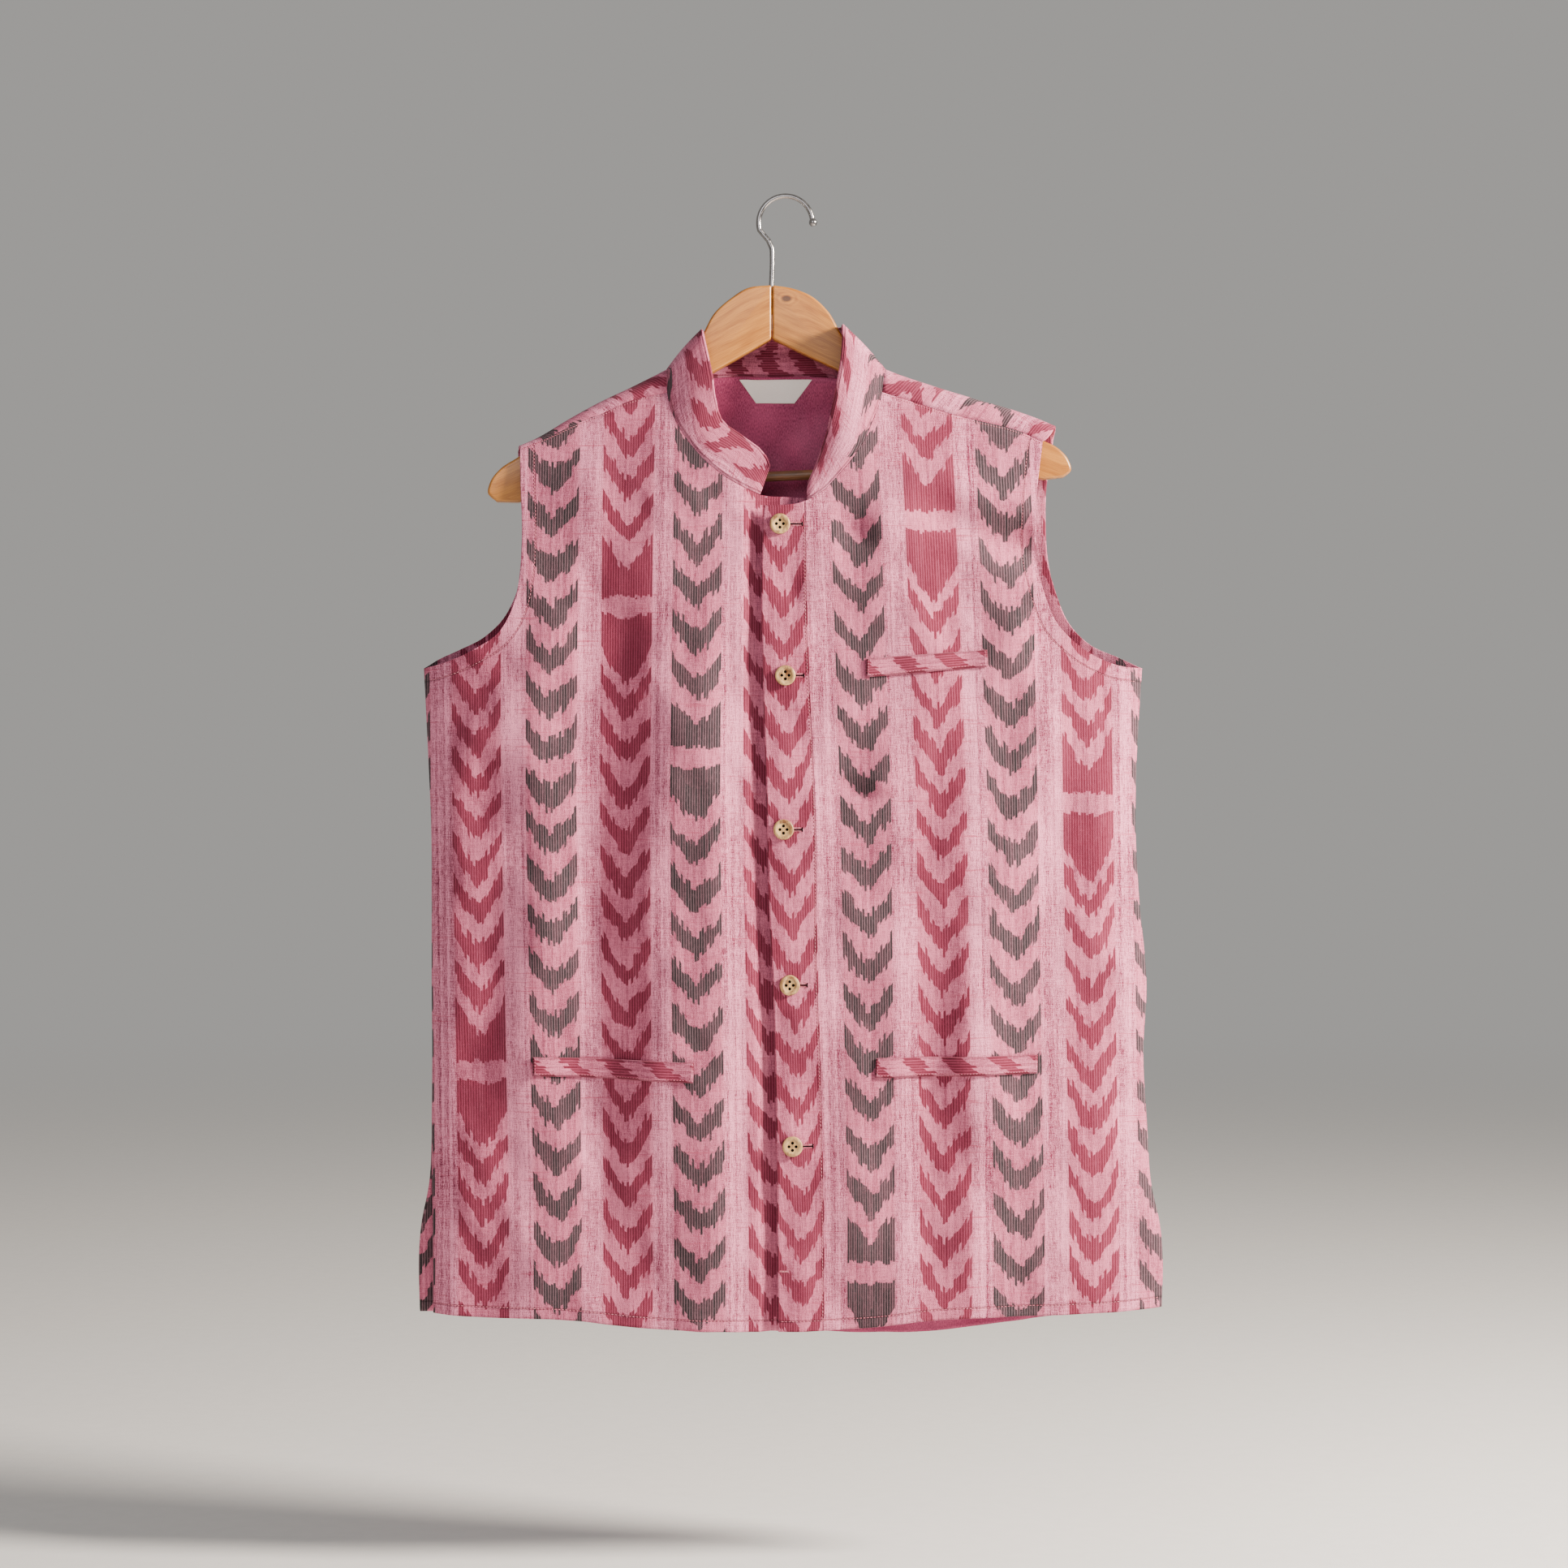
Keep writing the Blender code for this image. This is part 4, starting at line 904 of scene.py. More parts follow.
def flap_grid(side, across, ridge_row):
    """The strip of the back that comes over one shoulder to the forward seam."""
    from_tip = across if side == "right" else 1 - across
    keep = from_tip <= NECK_SHARE + NEAR
    share = from_tip[keep] / NECK_SHARE
    seam = to_w(run(SHOULDER_SEAMS[side], 1 - share))
    top = ridge(seam[:, 0])
    seam[:, 1] = 2 * top - seam[:, 1] - SHOULDER_GAP
    start = ridge_row[keep]
    steps = np.linspace(0, 1, FLAP_LINES + 1)[1:, None, None]
    bulge = TIP_BULGE[side] * np.stack([(1 - share) ** 4 * np.sign(seam[:, 0]), 0 * share], -1)
    strip = start[None] + (seam - start)[None] * steps + bulge[None] * 4 * steps * (1 - steps)
    return strip, np.flatnonzero(keep)


def cells(index):
    """The four-sided faces between a grid's points, given by their numbers."""
    quads = np.stack([index[:-1, :-1], index[:-1, 1:], index[1:, 1:], index[1:, :-1]], -1)
    return quads.reshape(-1, 4)


def grid_faces(rows, columns):
    """The four-sided faces of a whole grid of points."""
    return cells(np.arange(rows * columns).reshape(rows, columns))


def metres(points):
    """Millimetres turned into metres."""
    return np.asarray(points, float) * MM


def distance_to(line, x, w):
    """How far points of a flat cut lie from a line drawn on it."""
    line = np.asarray(line, float)
    best = np.full(np.shape(x), np.inf)
    for start, end in zip(line, line[1:]):
        step = end - start
        share = ((x - start[0]) * step[0] + (w - start[1]) * step[1]) / max(float(step @ step), NEAR)
        share = np.clip(share, 0, 1)
        gap = np.hypot(x - start[0] - share * step[0], w - start[1] - share * step[1])
        best = np.minimum(best, gap)
    return best


def dyed(columns, x, w):
    """The ikat's own coordinates: thread line u, lane, way from the join, dye, repeat and dip."""
    middles = np.stack([np.interp(w, WARP_HEIGHTS[::-1], row[1:4][::-1]) for row in columns], -1)
    even = np.round(np.array([row[2] for row in columns]) / DASH_PITCH) * DASH_PITCH
    left = np.clip(np.sum(middles < x[..., None], axis=-1) - 1, 0, len(columns) - 2)
    low = np.take_along_axis(middles, left[..., None], -1)[..., 0]
    high = np.take_along_axis(middles, left[..., None] + 1, -1)[..., 0]
    u = even[left] + (x - low) * (even[left + 1] - even[left]) / (high - low)
    nearest = np.where(np.abs(x - low) <= np.abs(x - high), left, left + 1)
    lane = np.abs(u - even[nearest]) / COLUMN_HALF
    anchors = []
    for dye, _, x_middle, _, z, what, repeat, dip in columns:
        anchor = to_w([(x_middle, z)])[0, 1]
        if what == "point":
            anchor += SHIELD_SHIFT + DASH_TO[dye] + 2 + (1 + DASH_DEEPER) * dip + FAR_REPEATS * repeat
        anchors.append(anchor)
    way = np.array(anchors)[nearest] - w
    table = np.array([(DYES[row[0]], row[6], row[7]) for row in columns])[nearest]
    return u, lane, way, table[..., 0], table[..., 1], table[..., 2]


def cloth_map(u, v, seams=None, dye_map=None):
    """Attributes of a cloth piece: its flat cut in mm, how far its stitched lines are, along which the
    material paints shade, and the ikat.
    """
    seams = np.stack([FAR + 0 * u] * 3, -1) if seams is None else seams
    attributes = {"cloth_mm": np.stack([u, v, 0 * u], -1), "seam_mm": seams}
    if dye_map:
        lane, way, dye, repeat, dip = dye_map
        attributes["ikat_place"] = np.stack([lane, way, dye], -1)
        attributes["ikat_cut"] = np.stack([repeat, dip, 0 * u], -1)
    return {name: values.reshape(-1, 3) for name, values in attributes.items()}


def put(name, data):
    """Puts a mesh, a curve, a lamp or a camera into the scene."""
    thing = bpy.data.objects.new(name, data)
    bpy.context.scene.collection.objects.link(thing)
    return thing


def finished(name, edit):
    """A mesh object of a finished edit."""
    mesh = bpy.data.meshes.new(name)
    edit.to_mesh(mesh)
    edit.free()
    return put(name, mesh)


def new_mesh(name, points, faces, material_of=None, sharp=70):
    """A mesh object from points in millimetres and faces, smooth but for its sharp edges."""
    mesh = bpy.data.meshes.new(name)
    mesh.from_pydata(metres(points).tolist(), [], faces)
    edit = bmesh.new()
    edit.from_mesh(mesh)
    bmesh.ops.recalc_face_normals(edit, faces=edit.faces)
    edit.to_mesh(mesh)
    edit.free()
    mesh.shade_smooth()
    mesh.set_sharp_from_angle(angle=math.radians(sharp))
    if material_of is not None:
        mesh.polygons.foreach_set("material_index", np.asarray(material_of, np.int32))
    return put(name, mesh)


def give(mesh, attributes):
    """Stores a value for each point under each name, for the materials to read."""
    for name, values in attributes.items():
        attribute = mesh.attributes.new(name, "FLOAT_VECTOR", "POINT")
        attribute.data.foreach_set("vector", np.ascontiguousarray(values, np.float32).ravel())


def shell(name, outer, inner, quads, attributes, lined=None, within=None):
    """A closed cloth wall with a rounded rim.

    Its inner side takes the second material where lined says so, and within is its own flat cut.
    """
    outer, inner, quads = outer.reshape(-1, 3), inner.reshape(-1, 3), quads.reshape(-1, 4)
    used, flat = np.unique(quads, return_inverse=True)
    quads, outer, inner = flat.reshape(-1, 4), outer[used], inner[used]
    attributes = {key: values[used] for key, values in attributes.items()}
    within = {key: values[used] for key, values in within.items()} if within else attributes
    lined = np.zeros(len(used), bool) if lined is None else np.ravel(lined)[used]
    count = len(outer)
    edges = {(int(a), int(b)) for quad in quads for a, b in zip(quad, np.roll(quad, -1))}
    border = [(a, b) for a, b in edges if (b, a) not in edges]
    middle = outer[quads].mean(axis=1)
    reach, hits = np.zeros_like(outer), np.zeros(count)
    for corner in range(4):
        np.add.at(reach, quads[:, corner], middle)
        np.add.at(hits, quads[:, corner], 1)
    out = outer - reach / hits[:, None]
    out /= np.maximum(np.linalg.norm(out, axis=1, keepdims=True), NEAR)
    through = np.linalg.norm(outer - inner, axis=1, keepdims=True)
    on_rim = sorted({a for edge in border for a in edge})
    place_of = {a: 2 * count + i for i, a in enumerate(on_rim)}
    rim_points = ((outer + inner) / 2 + out * through * RIM_ROUND)[on_rim]
    faces = quads.tolist() + (quads[:, ::-1] + count).tolist()
    material_of = [0] * len(quads) + lined[quads].all(axis=1).astype(int).tolist()
    for a, b in sorted(border):
        faces += [[b, a, place_of[a], place_of[b]], [place_of[b], place_of[a], a + count, b + count]]
        material_of += [0, 0]
    thing = new_mesh(name, np.concatenate([outer, inner, rim_points]), faces, material_of)
    give(thing.data, {key: np.concatenate([v, within[key], v[on_rim]]) for key, v in attributes.items()})
    return thing


def dress(thing, slot, *materials):
    """Gives a piece its materials, and lets it ride the one body; the slot is not used."""
    for material in materials:
        thing.data.materials.append(material)
    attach(thing, "root")


def seam_distances(panel, side, x, w):
    """How far a panel's points lie past its hem's, armholes' and button strip's topstitching."""
    hem = hem_line(panel, np.linspace(*HEM_SPAN, 200))
    past_hem = w - np.interp(x, hem[:, 0], hem[:, 1]) - HEM_TURN
    sides = (side,) if panel == "front" else ("right", "left")
    from_holes = [distance_to(armhole_line(panel, one), x, w) for one in sides]
    past_hole = np.min(from_holes, axis=0) - ARMHOLE_TURN
    past_strip = FAR + 0 * x
    if side == "left":
        past_strip = x - column(STRIP_EDGE, 0, 1, w) + STRIP_TURN
    return np.stack([past_hem, past_hole, past_strip], -1)


def unfaced(panel, x, w, seams):
    """Where a panel's inner side shows its lining: off the cloth turned in at armholes and vents."""
    half = np.where(x < 0, -side_x(panel, "right", w), side_x(panel, "left", w))
    in_vent = (half - np.abs(x) < VENT_FACING) & (w < VENT_TOP_Z)
    return (seams[..., 1] > 0) & ~in_vent


def armhole_line(panel, side):
    """An armhole's edge on the flat cut."""
    return to_w(run(ARMHOLES[panel, side], np.linspace(0, 1, 40)))


def hem_line(panel, xs):
    """A hem's edge on the flat cut, at the given x."""
    table = HEM_FRONT if panel == "front" else HEM_BACK
    return to_w(np.stack([xs, column(table, 0, 1, xs)], -1))


def build_front(side, cloth, lining):
    """One front, its edges turned in; returns the part of its neck edge that the collar takes."""
    grid = front_grid(side)
    x, w = grid[..., 0], grid[..., 1]
    outer = place("front", side, x, w)
    inner = wall_points("front", side, x, w, WALL)
    u, *dye_map = dyed(COLUMNS[side], x, w)
    seams = seam_distances("front", side, x, w)
    attributes = cloth_map(u, -w, seams, dye_map)
    lined = unfaced("front", x, w, seams)
    thing = shell("front_" + side + "_cloth", outer, inner, grid_faces(*x.shape), attributes, lined)
    dress(thing, "cloth", cloth, lining)
    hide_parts("front_" + side)
    hand = -1 if side == "right" else 1
    on_collar = (rows_up() >= CORNER_AT) & (hand * outer[:, 0, 0] >= hand * COLLAR_START_X[side])
    return outer[on_collar, 0], inner[on_collar, 0]


def folded_over(x, w):
    """The back's flat cut, where the part over the shoulder is mirrored about the shoulder line."""
    top = ridge(x)
    slope = (ridge(x + 1) - ridge(x - 1)) / 2
    over = np.maximum(w - top, 0)
    turn = over / (1 + slope**2)
    return x - 2 * slope * turn, np.where(w > top, top + (1 - slope**2) * turn, w)


def back_columns():
    """The back's dyed columns, upright and evenly spaced."""
    rows = []
    for i in range(-6, 7):
        middle, dye = COLUMN_PITCH * i, "grey" if i % 2 else "red"
        z, what = (BACK_JOINS[i], "join") if i in BACK_JOINS else (-400.0 - 11 * i, "point")
        rows.append((dye, middle, middle, middle, z, what, *BACK_CUT[dye]))
    return rows


def build_back(cloth, lining):
    """The back, whose shoulders come over the arms; returns its neck edge, outer and inner."""
    across, up = back_across(), rows_up()
    main = back_grid(across, up)
    rows, columns = main.shape[:2]
    parts, quads = [main.reshape(-1, 2)], [grid_faces(rows, columns)]
    count, flaps = rows * columns, {}
    for side in ("right", "left"):
        flap, keep = flap_grid(side, across, main[-1])
        index = np.arange(flap.shape[0] * flap.shape[1]).reshape(flap.shape[:2]) + count
        index = np.vstack([(rows - 1) * columns + keep, index])
        quads.append(cells(index))
        parts.append(flap.reshape(-1, 2))
        count += flap.shape[0] * flap.shape[1]
        flaps[side] = index
    grid = np.concatenate(parts)
    x, w = grid[:, 0], grid[:, 1]
    outer = place("back", None, x, w)
    inner = wall_points("back", None, x, w, WALL)
    flat_x, flat_w = folded_over(x, w)
    u, *dye_map = dyed(back_columns(), flat_x, flat_w)
    seams = seam_distances("back", None, x, w)
    attributes = cloth_map(u, -flat_w, seams, dye_map)
    lined = unfaced("back", x, w, seams)
    thing = shell("back_cloth", outer, inner, np.concatenate(quads), attributes, lined)
    dress(thing, "cloth", cloth, lining)
    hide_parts("back")
    build_lining(main, across, lining)
    neck = (rows - 1) * columns + np.flatnonzero(in_neck(across))
    order = np.concatenate([flaps["right"][::-1, -1], neck, flaps["left"][:, 0]])
    return outer[order], inner[order]


def lining_ripple(x, w):
    """Waves 70 to 110 mm long in the thin lining, with sharper creases below the label."""
    high = ease((w + RIPPLE_FROM) / RIPPLE_RAMP)
    wave = np.sin(x / 17.0 + w / 21.0) + 0.8 * np.sin(x / 11.0 - w / 14.0 + 1.0)
    asides = [(x - x0 + lean * (w + CREASES_MEET)) / CREASE_WIDTH for x0, lean in CREASES]
    crease = sum(np.exp(-(aside**2)) for aside in asides)
    return high * (RIPPLE * wave + crease * ease((CREASE_TOP_Z - w) / CREASE_FADE))


def build_lining(main, across, lining):
    """The back's lining, which shows through the neck, at the armholes and under the hem."""
    rows, columns = main.shape[:2]
    faces = grid_faces(rows, columns).reshape(rows - 1, columns - 1, 4)
    middle = (across[:-1] > LINING_SIDE - NEAR) & (across[1:] < 1 - LINING_SIDE + NEAR)
    neck = in_neck(across[:-1]) & in_neck(across[1:])
    top = np.searchsorted(rows_up(), LINING_TOP)
    quads = np.concatenate([faces[:top, middle].reshape(-1, 4), faces[top:, neck].reshape(-1, 4)])
    x, w = main[..., 0], main[..., 1]
    outer = wall_points("back", None, x, w, WALL + GAP)
    inner = wall_points("back", None, x, w, WALL + GAP + LINING_WALL)
    ripple = np.stack([0 * x, -np.abs(lining_ripple(x, w)), 0 * x], -1)
    attributes = cloth_map(x, -w)
    thing = shell("lining_cloth", outer + ripple, inner + ripple, quads, attributes)
    dress(thing, "lining", lining)
    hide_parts("back_lining")


def build_collar(base_outer, base_inner, cloth):
    """The stand collar: a band lofted from the neck seam to its leaning upper edge.

    Its threads run along the band, and its inner face shows another stretch of the same cloth.
    """
    table = np.array(COLLAR)
    seam, edge = table[:, :3], table[:, 3:]
    edge[:, 1] -= COLLAR_LEAN * ease(-edge[:, 1] / COLLAR_LEAN_RAMP)
    along = lengths(base_outer)
    nearest = [np.argmin(np.linalg.norm(base_outer - point, axis=1)) for point in seam]
    knots, first = np.unique(along[nearest], return_index=True)
    top = smooth(along, knots, edge[first])
    rise = top - base_outer
    rise /= np.linalg.norm(rise, axis=1, keepdims=True)
    tangent = np.gradient(base_outer + top, axis=0)
    tangent /= np.linalg.norm(tangent, axis=1, keepdims=True)
    inward = np.cross(rise, tangent)
    inward /= np.linalg.norm(inward, axis=1, keepdims=True)
    inward *= np.sign(np.sum(inward * (np.array(COLLAR_MIDDLE) - top) * [1, 1, 0], axis=1))[:, None]
    lift = COLLAR_LIFT * GAP * rise
    shares = np.linspace(0, 1, COLLAR_LINES + 1)[:, None, None]
    bulge = COLLAR_BULGE * np.sin(math.pi * shares)
    outer = (base_outer + lift)[None] * (1 - shares) + top[None] * shares - bulge * inward[None]
    inner = (base_inner + lift)[None] * (1 - shares) + (top + WALL * inward)[None] * shares
    inner = inner - bulge * inward[None]
    height = np.linalg.norm(top - base_outer, axis=1)[None] * shares[..., 0]
    length = along[None] + 0 * height
    band = np.linalg.norm(top - base_outer, axis=1)[None]
    u = height - band + COLLAR_SKEW * (length - along[-1] / 2)
    kind = np.where(np.mod(np.round((u - COLLAR_COLUMN) / COLUMN_PITCH), 2) == 0, 0.0, 1.0)
    from_middle = np.mod(u - COLLAR_COLUMN + COLUMN_PITCH / 2, COLUMN_PITCH) - COLUMN_PITCH / 2
    lane = np.abs(from_middle) / COLUMN_HALF
    dye_map = (lane, FAR_WAY - length, kind, *[value + 0 * u for value in COLLAR_CUT])
    past_edge = band - height - COLLAR_TURN
    seams = np.stack([height - COLLAR_TURN, past_edge, FAR + 0 * height], -1)
    attributes = cloth_map(u, length, seams, dye_map)
    low = height - band * COLLAR_FACING_COLUMN
    facing_way = FAR_WAY - COLLAR_FACING_SHIFT - length
    faced = (np.abs(low) / COLUMN_HALF, facing_way, 0 * u, *[value + 0 * u for value in COLLAR_FACING_CUT])
    within = cloth_map(low, length, seams, faced)
    thing = shell("collar_cloth", outer, inner, grid_faces(*u.shape), attributes, within=within)
    dress(thing, "cloth", cloth)
    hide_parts("collar")
    return outer, inner


def patch(corners, columns, rows):
    """An even grid of x and z between four corners, given in turn from the upper inner one."""
    a, b, c, d = [np.array(corner, float) for corner in corners]
    u = np.linspace(0, 1, columns)[None, :, None]
    v = np.linspace(0, 1, rows)[:, None, None]
    return (1 - v) * ((1 - u) * d + u * c) + v * ((1 - u) * a + u * b)


def build_welts(cloth):
    """Pocket welts, cut across the cloth so that the dyed threads run level."""
    for name, (side, corners) in WELTS.items():
        grid = patch(corners, 70, 14)
        flat = to_w(grid.reshape(-1, 2)).reshape(grid.shape)
        x, w = flat[..., 0], flat[..., 1]
        outer = wall_points("front", side, x, w, -(WELT_GAP + WELT_WALL))
        inner = wall_points("front", side, x, w, -WELT_GAP)
        high = np.linspace(0, WELT_HEIGHT, len(x))[:, None] + 0 * x
        long = x - x.min()
        lane = np.abs(high - WELT_COLUMN) / COLUMN_HALF
        dye_map = (lane, FAR_WAY - long, 0 * x, *[value + 0 * x for value in WELT_CUT])
        # Distances to the welt's edges, along which the cloth's material paints a dark outline of shade
        seams = np.stack([np.minimum(high, WELT_HEIGHT - high), long, long.max() - long], -1)
        attributes = cloth_map(high, long, seams, dye_map)
        thing = shell(name + "_cloth", outer, inner, grid_faces(*x.shape), attributes)
        dress(thing, "cloth", cloth)
        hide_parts(name)


def build_label(satin):
    """The woven neck label, left bare, which ripples a little and curls up at one end."""
    grid = patch(LABEL, 40, 14)
    flat = to_w(grid.reshape(-1, 2)).reshape(grid.shape)
    x, w = flat[..., 0], flat[..., 1]
    start = WALL + GAP + LINING_WALL + LABEL_GAP
    (height, curl_x, width), (wave, wave_length) = LABEL_CURL, LABEL_RIPPLE
    curl = height * np.exp(-(((x - curl_x) / width) ** 2)) + wave * np.sin(x / wave_length)
    lift = np.stack([0 * x, -np.abs(curl), 0 * x], -1)
    outer = wall_points("back", None, x, w, start) + lift
    inner = wall_points("back", None, x, w, start + LABEL_WALL * LABEL_SHARE) + lift
    thing = shell("neck_label_satin", outer, inner, grid_faces(*x.shape), cloth_map(x, -w))
    dress(thing, "label", satin)
    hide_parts("neck_label")


def stitches(name, lines, thread, slot, pitch=STITCH_PITCH, length=STITCH_LENGTH, radius=STITCH_RADIUS):
    """Rows of short threads sunk at both ends, as one mesh; each line comes with the way it faces.

    A ring of a thread is its share of the length, its thickness and how deep it is sunk.
    """
    sides, rings = 6, np.array([(-0.5, 0.35, -0.3), (-0.3, 1, 0), (0.3, 1, 0), (0.5, 0.35, -0.3)])
    angles = np.arange(sides) * 2 * math.pi / sides
    points, faces = [], []
    for line, facing in lines:
        line = np.asarray(line, float)
        along = lengths(line)
        count = max(1, int(along[-1] / pitch))
        for i in range(count):
            middle = (i + 0.5) * along[-1] / count
            reach = [middle - 0.5, middle + 0.5]
            ends = np.stack([np.interp(reach, along, line[:, k]) for k in range(3)], -1)
            run_way = ends[1] - ends[0]
            run_way /= np.linalg.norm(run_way)
            side_way = np.cross(run_way, facing)
            side_way /= np.linalg.norm(side_way)
            up_way = np.cross(side_way, run_way)
            first = len(points)
            for place_on, size, sink in rings:
                centre = ends.mean(axis=0) + run_way * place_on * length + up_way * sink * radius * 2
                for angle in angles:
                    offset = math.cos(angle) * side_way + 0.8 * math.sin(angle) * up_way
                    points.append(centre + offset * radius * size)
            for ring in range(len(rings) - 1):
                for k in range(sides):
                    a, b = first + ring * sides + k, first + ring * sides + (k + 1) % sides
                    faces.append([a, b, b + sides, a + sides])
            faces.append([first + k for k in range(sides)][::-1])
            faces.append([first + (len(rings) - 1) * sides + k for k in range(sides)])
    dress(new_mesh(name, np.array(points), faces), slot, thread)


def on_panel(panel, side, points, lift=STITCH_LIFT):
    """A line on a panel's outer face, from its flat x and w."""
    points = np.asarray(points, float)
    return wall_points(panel, side, points[:, 0], points[:, 1], -lift)


def inset(line, amount, centre):
    """A line on a flat cut moved towards a point on its inner side."""
    line = np.asarray(line, float)
    step = np.gradient(line, axis=0)
    step /= np.linalg.norm(step, axis=1, keepdims=True)
    normal = np.stack([-step[:, 1], step[:, 0]], -1)
    toward = np.sign(np.sum(normal * (np.asarray(centre) - line), axis=1))[:, None]
    return line + normal * toward * amount


def armhole_stitches(panel, side):
    """Where an armhole's topstitching runs on the flat cut, down to just short of the side seam."""
    hand = -1 if side == "right" else 1
    line = inset(armhole_line(panel, side), ARMHOLE_TURN, (hand * CHEST[0], CHEST[1]))
    return line[line[:, 0] * hand < abs(side_x(panel, side, FOOT_Z)) - HOLE_SIDE]


def stitch_fronts(thread):
    """The topstitching of the fronts' hems and armholes and of the button strip."""
    for side in ("right", "left"):
        hand = -1 if side == "right" else 1
        outer_x = HEM_FRONT[0 if side == "right" else -1][0]
        start_x = float(lap_x(np.array(HEM_LAP_Z))) + HEM_LAP[side]
        hem = hem_line("front", np.linspace(start_x, outer_x - hand * HEM_SIDE, 160)) + [0, HEM_TURN]
        hole = armhole_stitches("front", side)
        lines = [(on_panel("front", side, line), TO_FRONT) for line in (hem, hole)]
        stitches("front_" + side + "_stitching", lines, thread, "cloth")
    z = np.linspace(*STRIP_ENDS, 240)
    strip = to_w(np.stack([column(STRIP_EDGE, 0, 1, z) - STRIP_TURN, z], -1))
    stitches("strip_stitching", [(on_panel("front", "left", strip), TO_FRONT)], thread, "cloth")


def stitch_back(thread):
    """The topstitching of the back's hem and armholes, and of the forward shoulder seams."""
    ends = (HEM_BACK[0][0] + HEM_SIDE, HEM_BACK[-1][0] - HEM_SIDE)
    lines = [hem_line("back", np.linspace(*ends, 300)) + [0, HEM_TURN]]
    lines += [armhole_stitches("back", side) for side in ("right", "left")]
    lines = [(on_panel("back", None, line), TO_BACK) for line in lines]
    stitches("back_stitching", lines, thread, "cloth")
    lines = []
    for side in ("right", "left"):
        seam = to_w(run(SHOULDER_SEAMS[side], np.linspace(0.01, 0.99, 60)))
        seam[:, 1] = 2 * ridge(seam[:, 0]) - seam[:, 1] + SHOULDER_STITCH
        lines.append((on_panel("back", None, seam), TO_FRONT))
    stitches("shoulder_stitching", lines, thread, "cloth", pitch=2.2, length=1.3)


def stitch_welts(thread):
    """The topstitching round three sides of each welt."""
    lines, turn = [], WELT_TURN
    for side, corners in WELTS.values():
        a, b, c, d = [np.array(corner, float) for corner in corners]
        loop = [a + [turn, 0], d + [turn, turn], c + [-turn, turn], b + [-turn, 0]]
        for start, end in zip(loop, loop[1:]):
            line = to_w(start + (end - start) * np.linspace(0, 1, 24)[:, None])
            lines.append((on_panel("front", side, line, WELT_GAP + WELT_WALL + STITCH_LIFT), TO_FRONT))
    stitches("welt_stitching", lines, thread, "cloth", pitch=2.3, length=1.5, radius=0.22)


def solid_copy(name, thing):
    """The evaluated shape of a curve or of a mesh with modifiers, as a plain mesh object."""
    bpy.context.view_layer.update()
    mesh = bpy.data.meshes.new_from_object(thing.evaluated_get(bpy.context.evaluated_depsgraph_get()))
    mesh.transform(thing.matrix_world)
    mesh.name = name
    bpy.data.objects.remove(thing)
    return put(name, mesh)


def soften(thing, sharp):
    """Smooth shading but for edges sharper than an angle, and no material left from a raw shape."""
    thing.data.shade_smooth()
    thing.data.set_sharp_from_angle(angle=math.radians(sharp))
    thing.data.materials.clear()


def points_mm(thing):
    """A mesh object's points in millimetres."""
    points = np.empty(len(thing.data.vertices) * 3)
    thing.data.vertices.foreach_get("co", points)
    return points.reshape(-1, 3) / MM


def rod(name, start, end, radius, sides):
    """A closed rod between two points given in millimetres."""
    start, end = metres(start), metres(end)
    length = float(np.linalg.norm(end - start))
    edit = bmesh.new()
    round_ends = {"radius1": radius * MM, "radius2": radius * MM, "depth": length}
    bmesh.ops.create_cone(edit, cap_ends=True, segments=sides, **round_ends)
    thing = finished(name, edit)
    way = Vector((end - start) / length).to_track_quat("Z", "Y")
    thing.matrix_world = Matrix.Translation(Vector((start + end) / 2)) @ way.to_matrix().to_4x4()
    return thing


def turned(name, profile, steps):
    """A closed turned shape from a profile of radius and height, its axis along +Z."""
    edit = bmesh.new()
    points = [edit.verts.new((r * MM, 0, z * MM)) for r, z in profile]
    for a, b in zip(points, points[1:]):
        edit.edges.new((a, b))
    around = {"angle": 2 * math.pi, "steps": steps, "axis": (0, 0, 1), "cent": (0, 0, 0), "use_merge": True}
    bmesh.ops.spin(edit, geom=edit.verts[:] + edit.edges[:], **around)
    bmesh.ops.remove_doubles(edit, verts=edit.verts, dist=1e-6)
    bmesh.ops.recalc_face_normals(edit, faces=edit.faces)
    return finished(name, edit)


def button_profile():
    """Half a button's section as radius and height: dished face, rounded rim, flat underside."""
    half = BUTTON_THICKNESS / 2
    dish = [(0, half - 0.75), (3.6, half - 0.72), (4.6, half - 0.5), (5.3, half - 0.08), (5.9, half)]
    rim = [(-0.9, half - 0.04), (-0.35, half - 0.3), (0, half - 0.9), (0, -half + 0.7), (-0.6, -half + 0.1)]
    return dish + [(BUTTON_RADIUS + r, z) for r, z in rim] + [(BUTTON_RADIUS - 1, -half), (0, -half)]


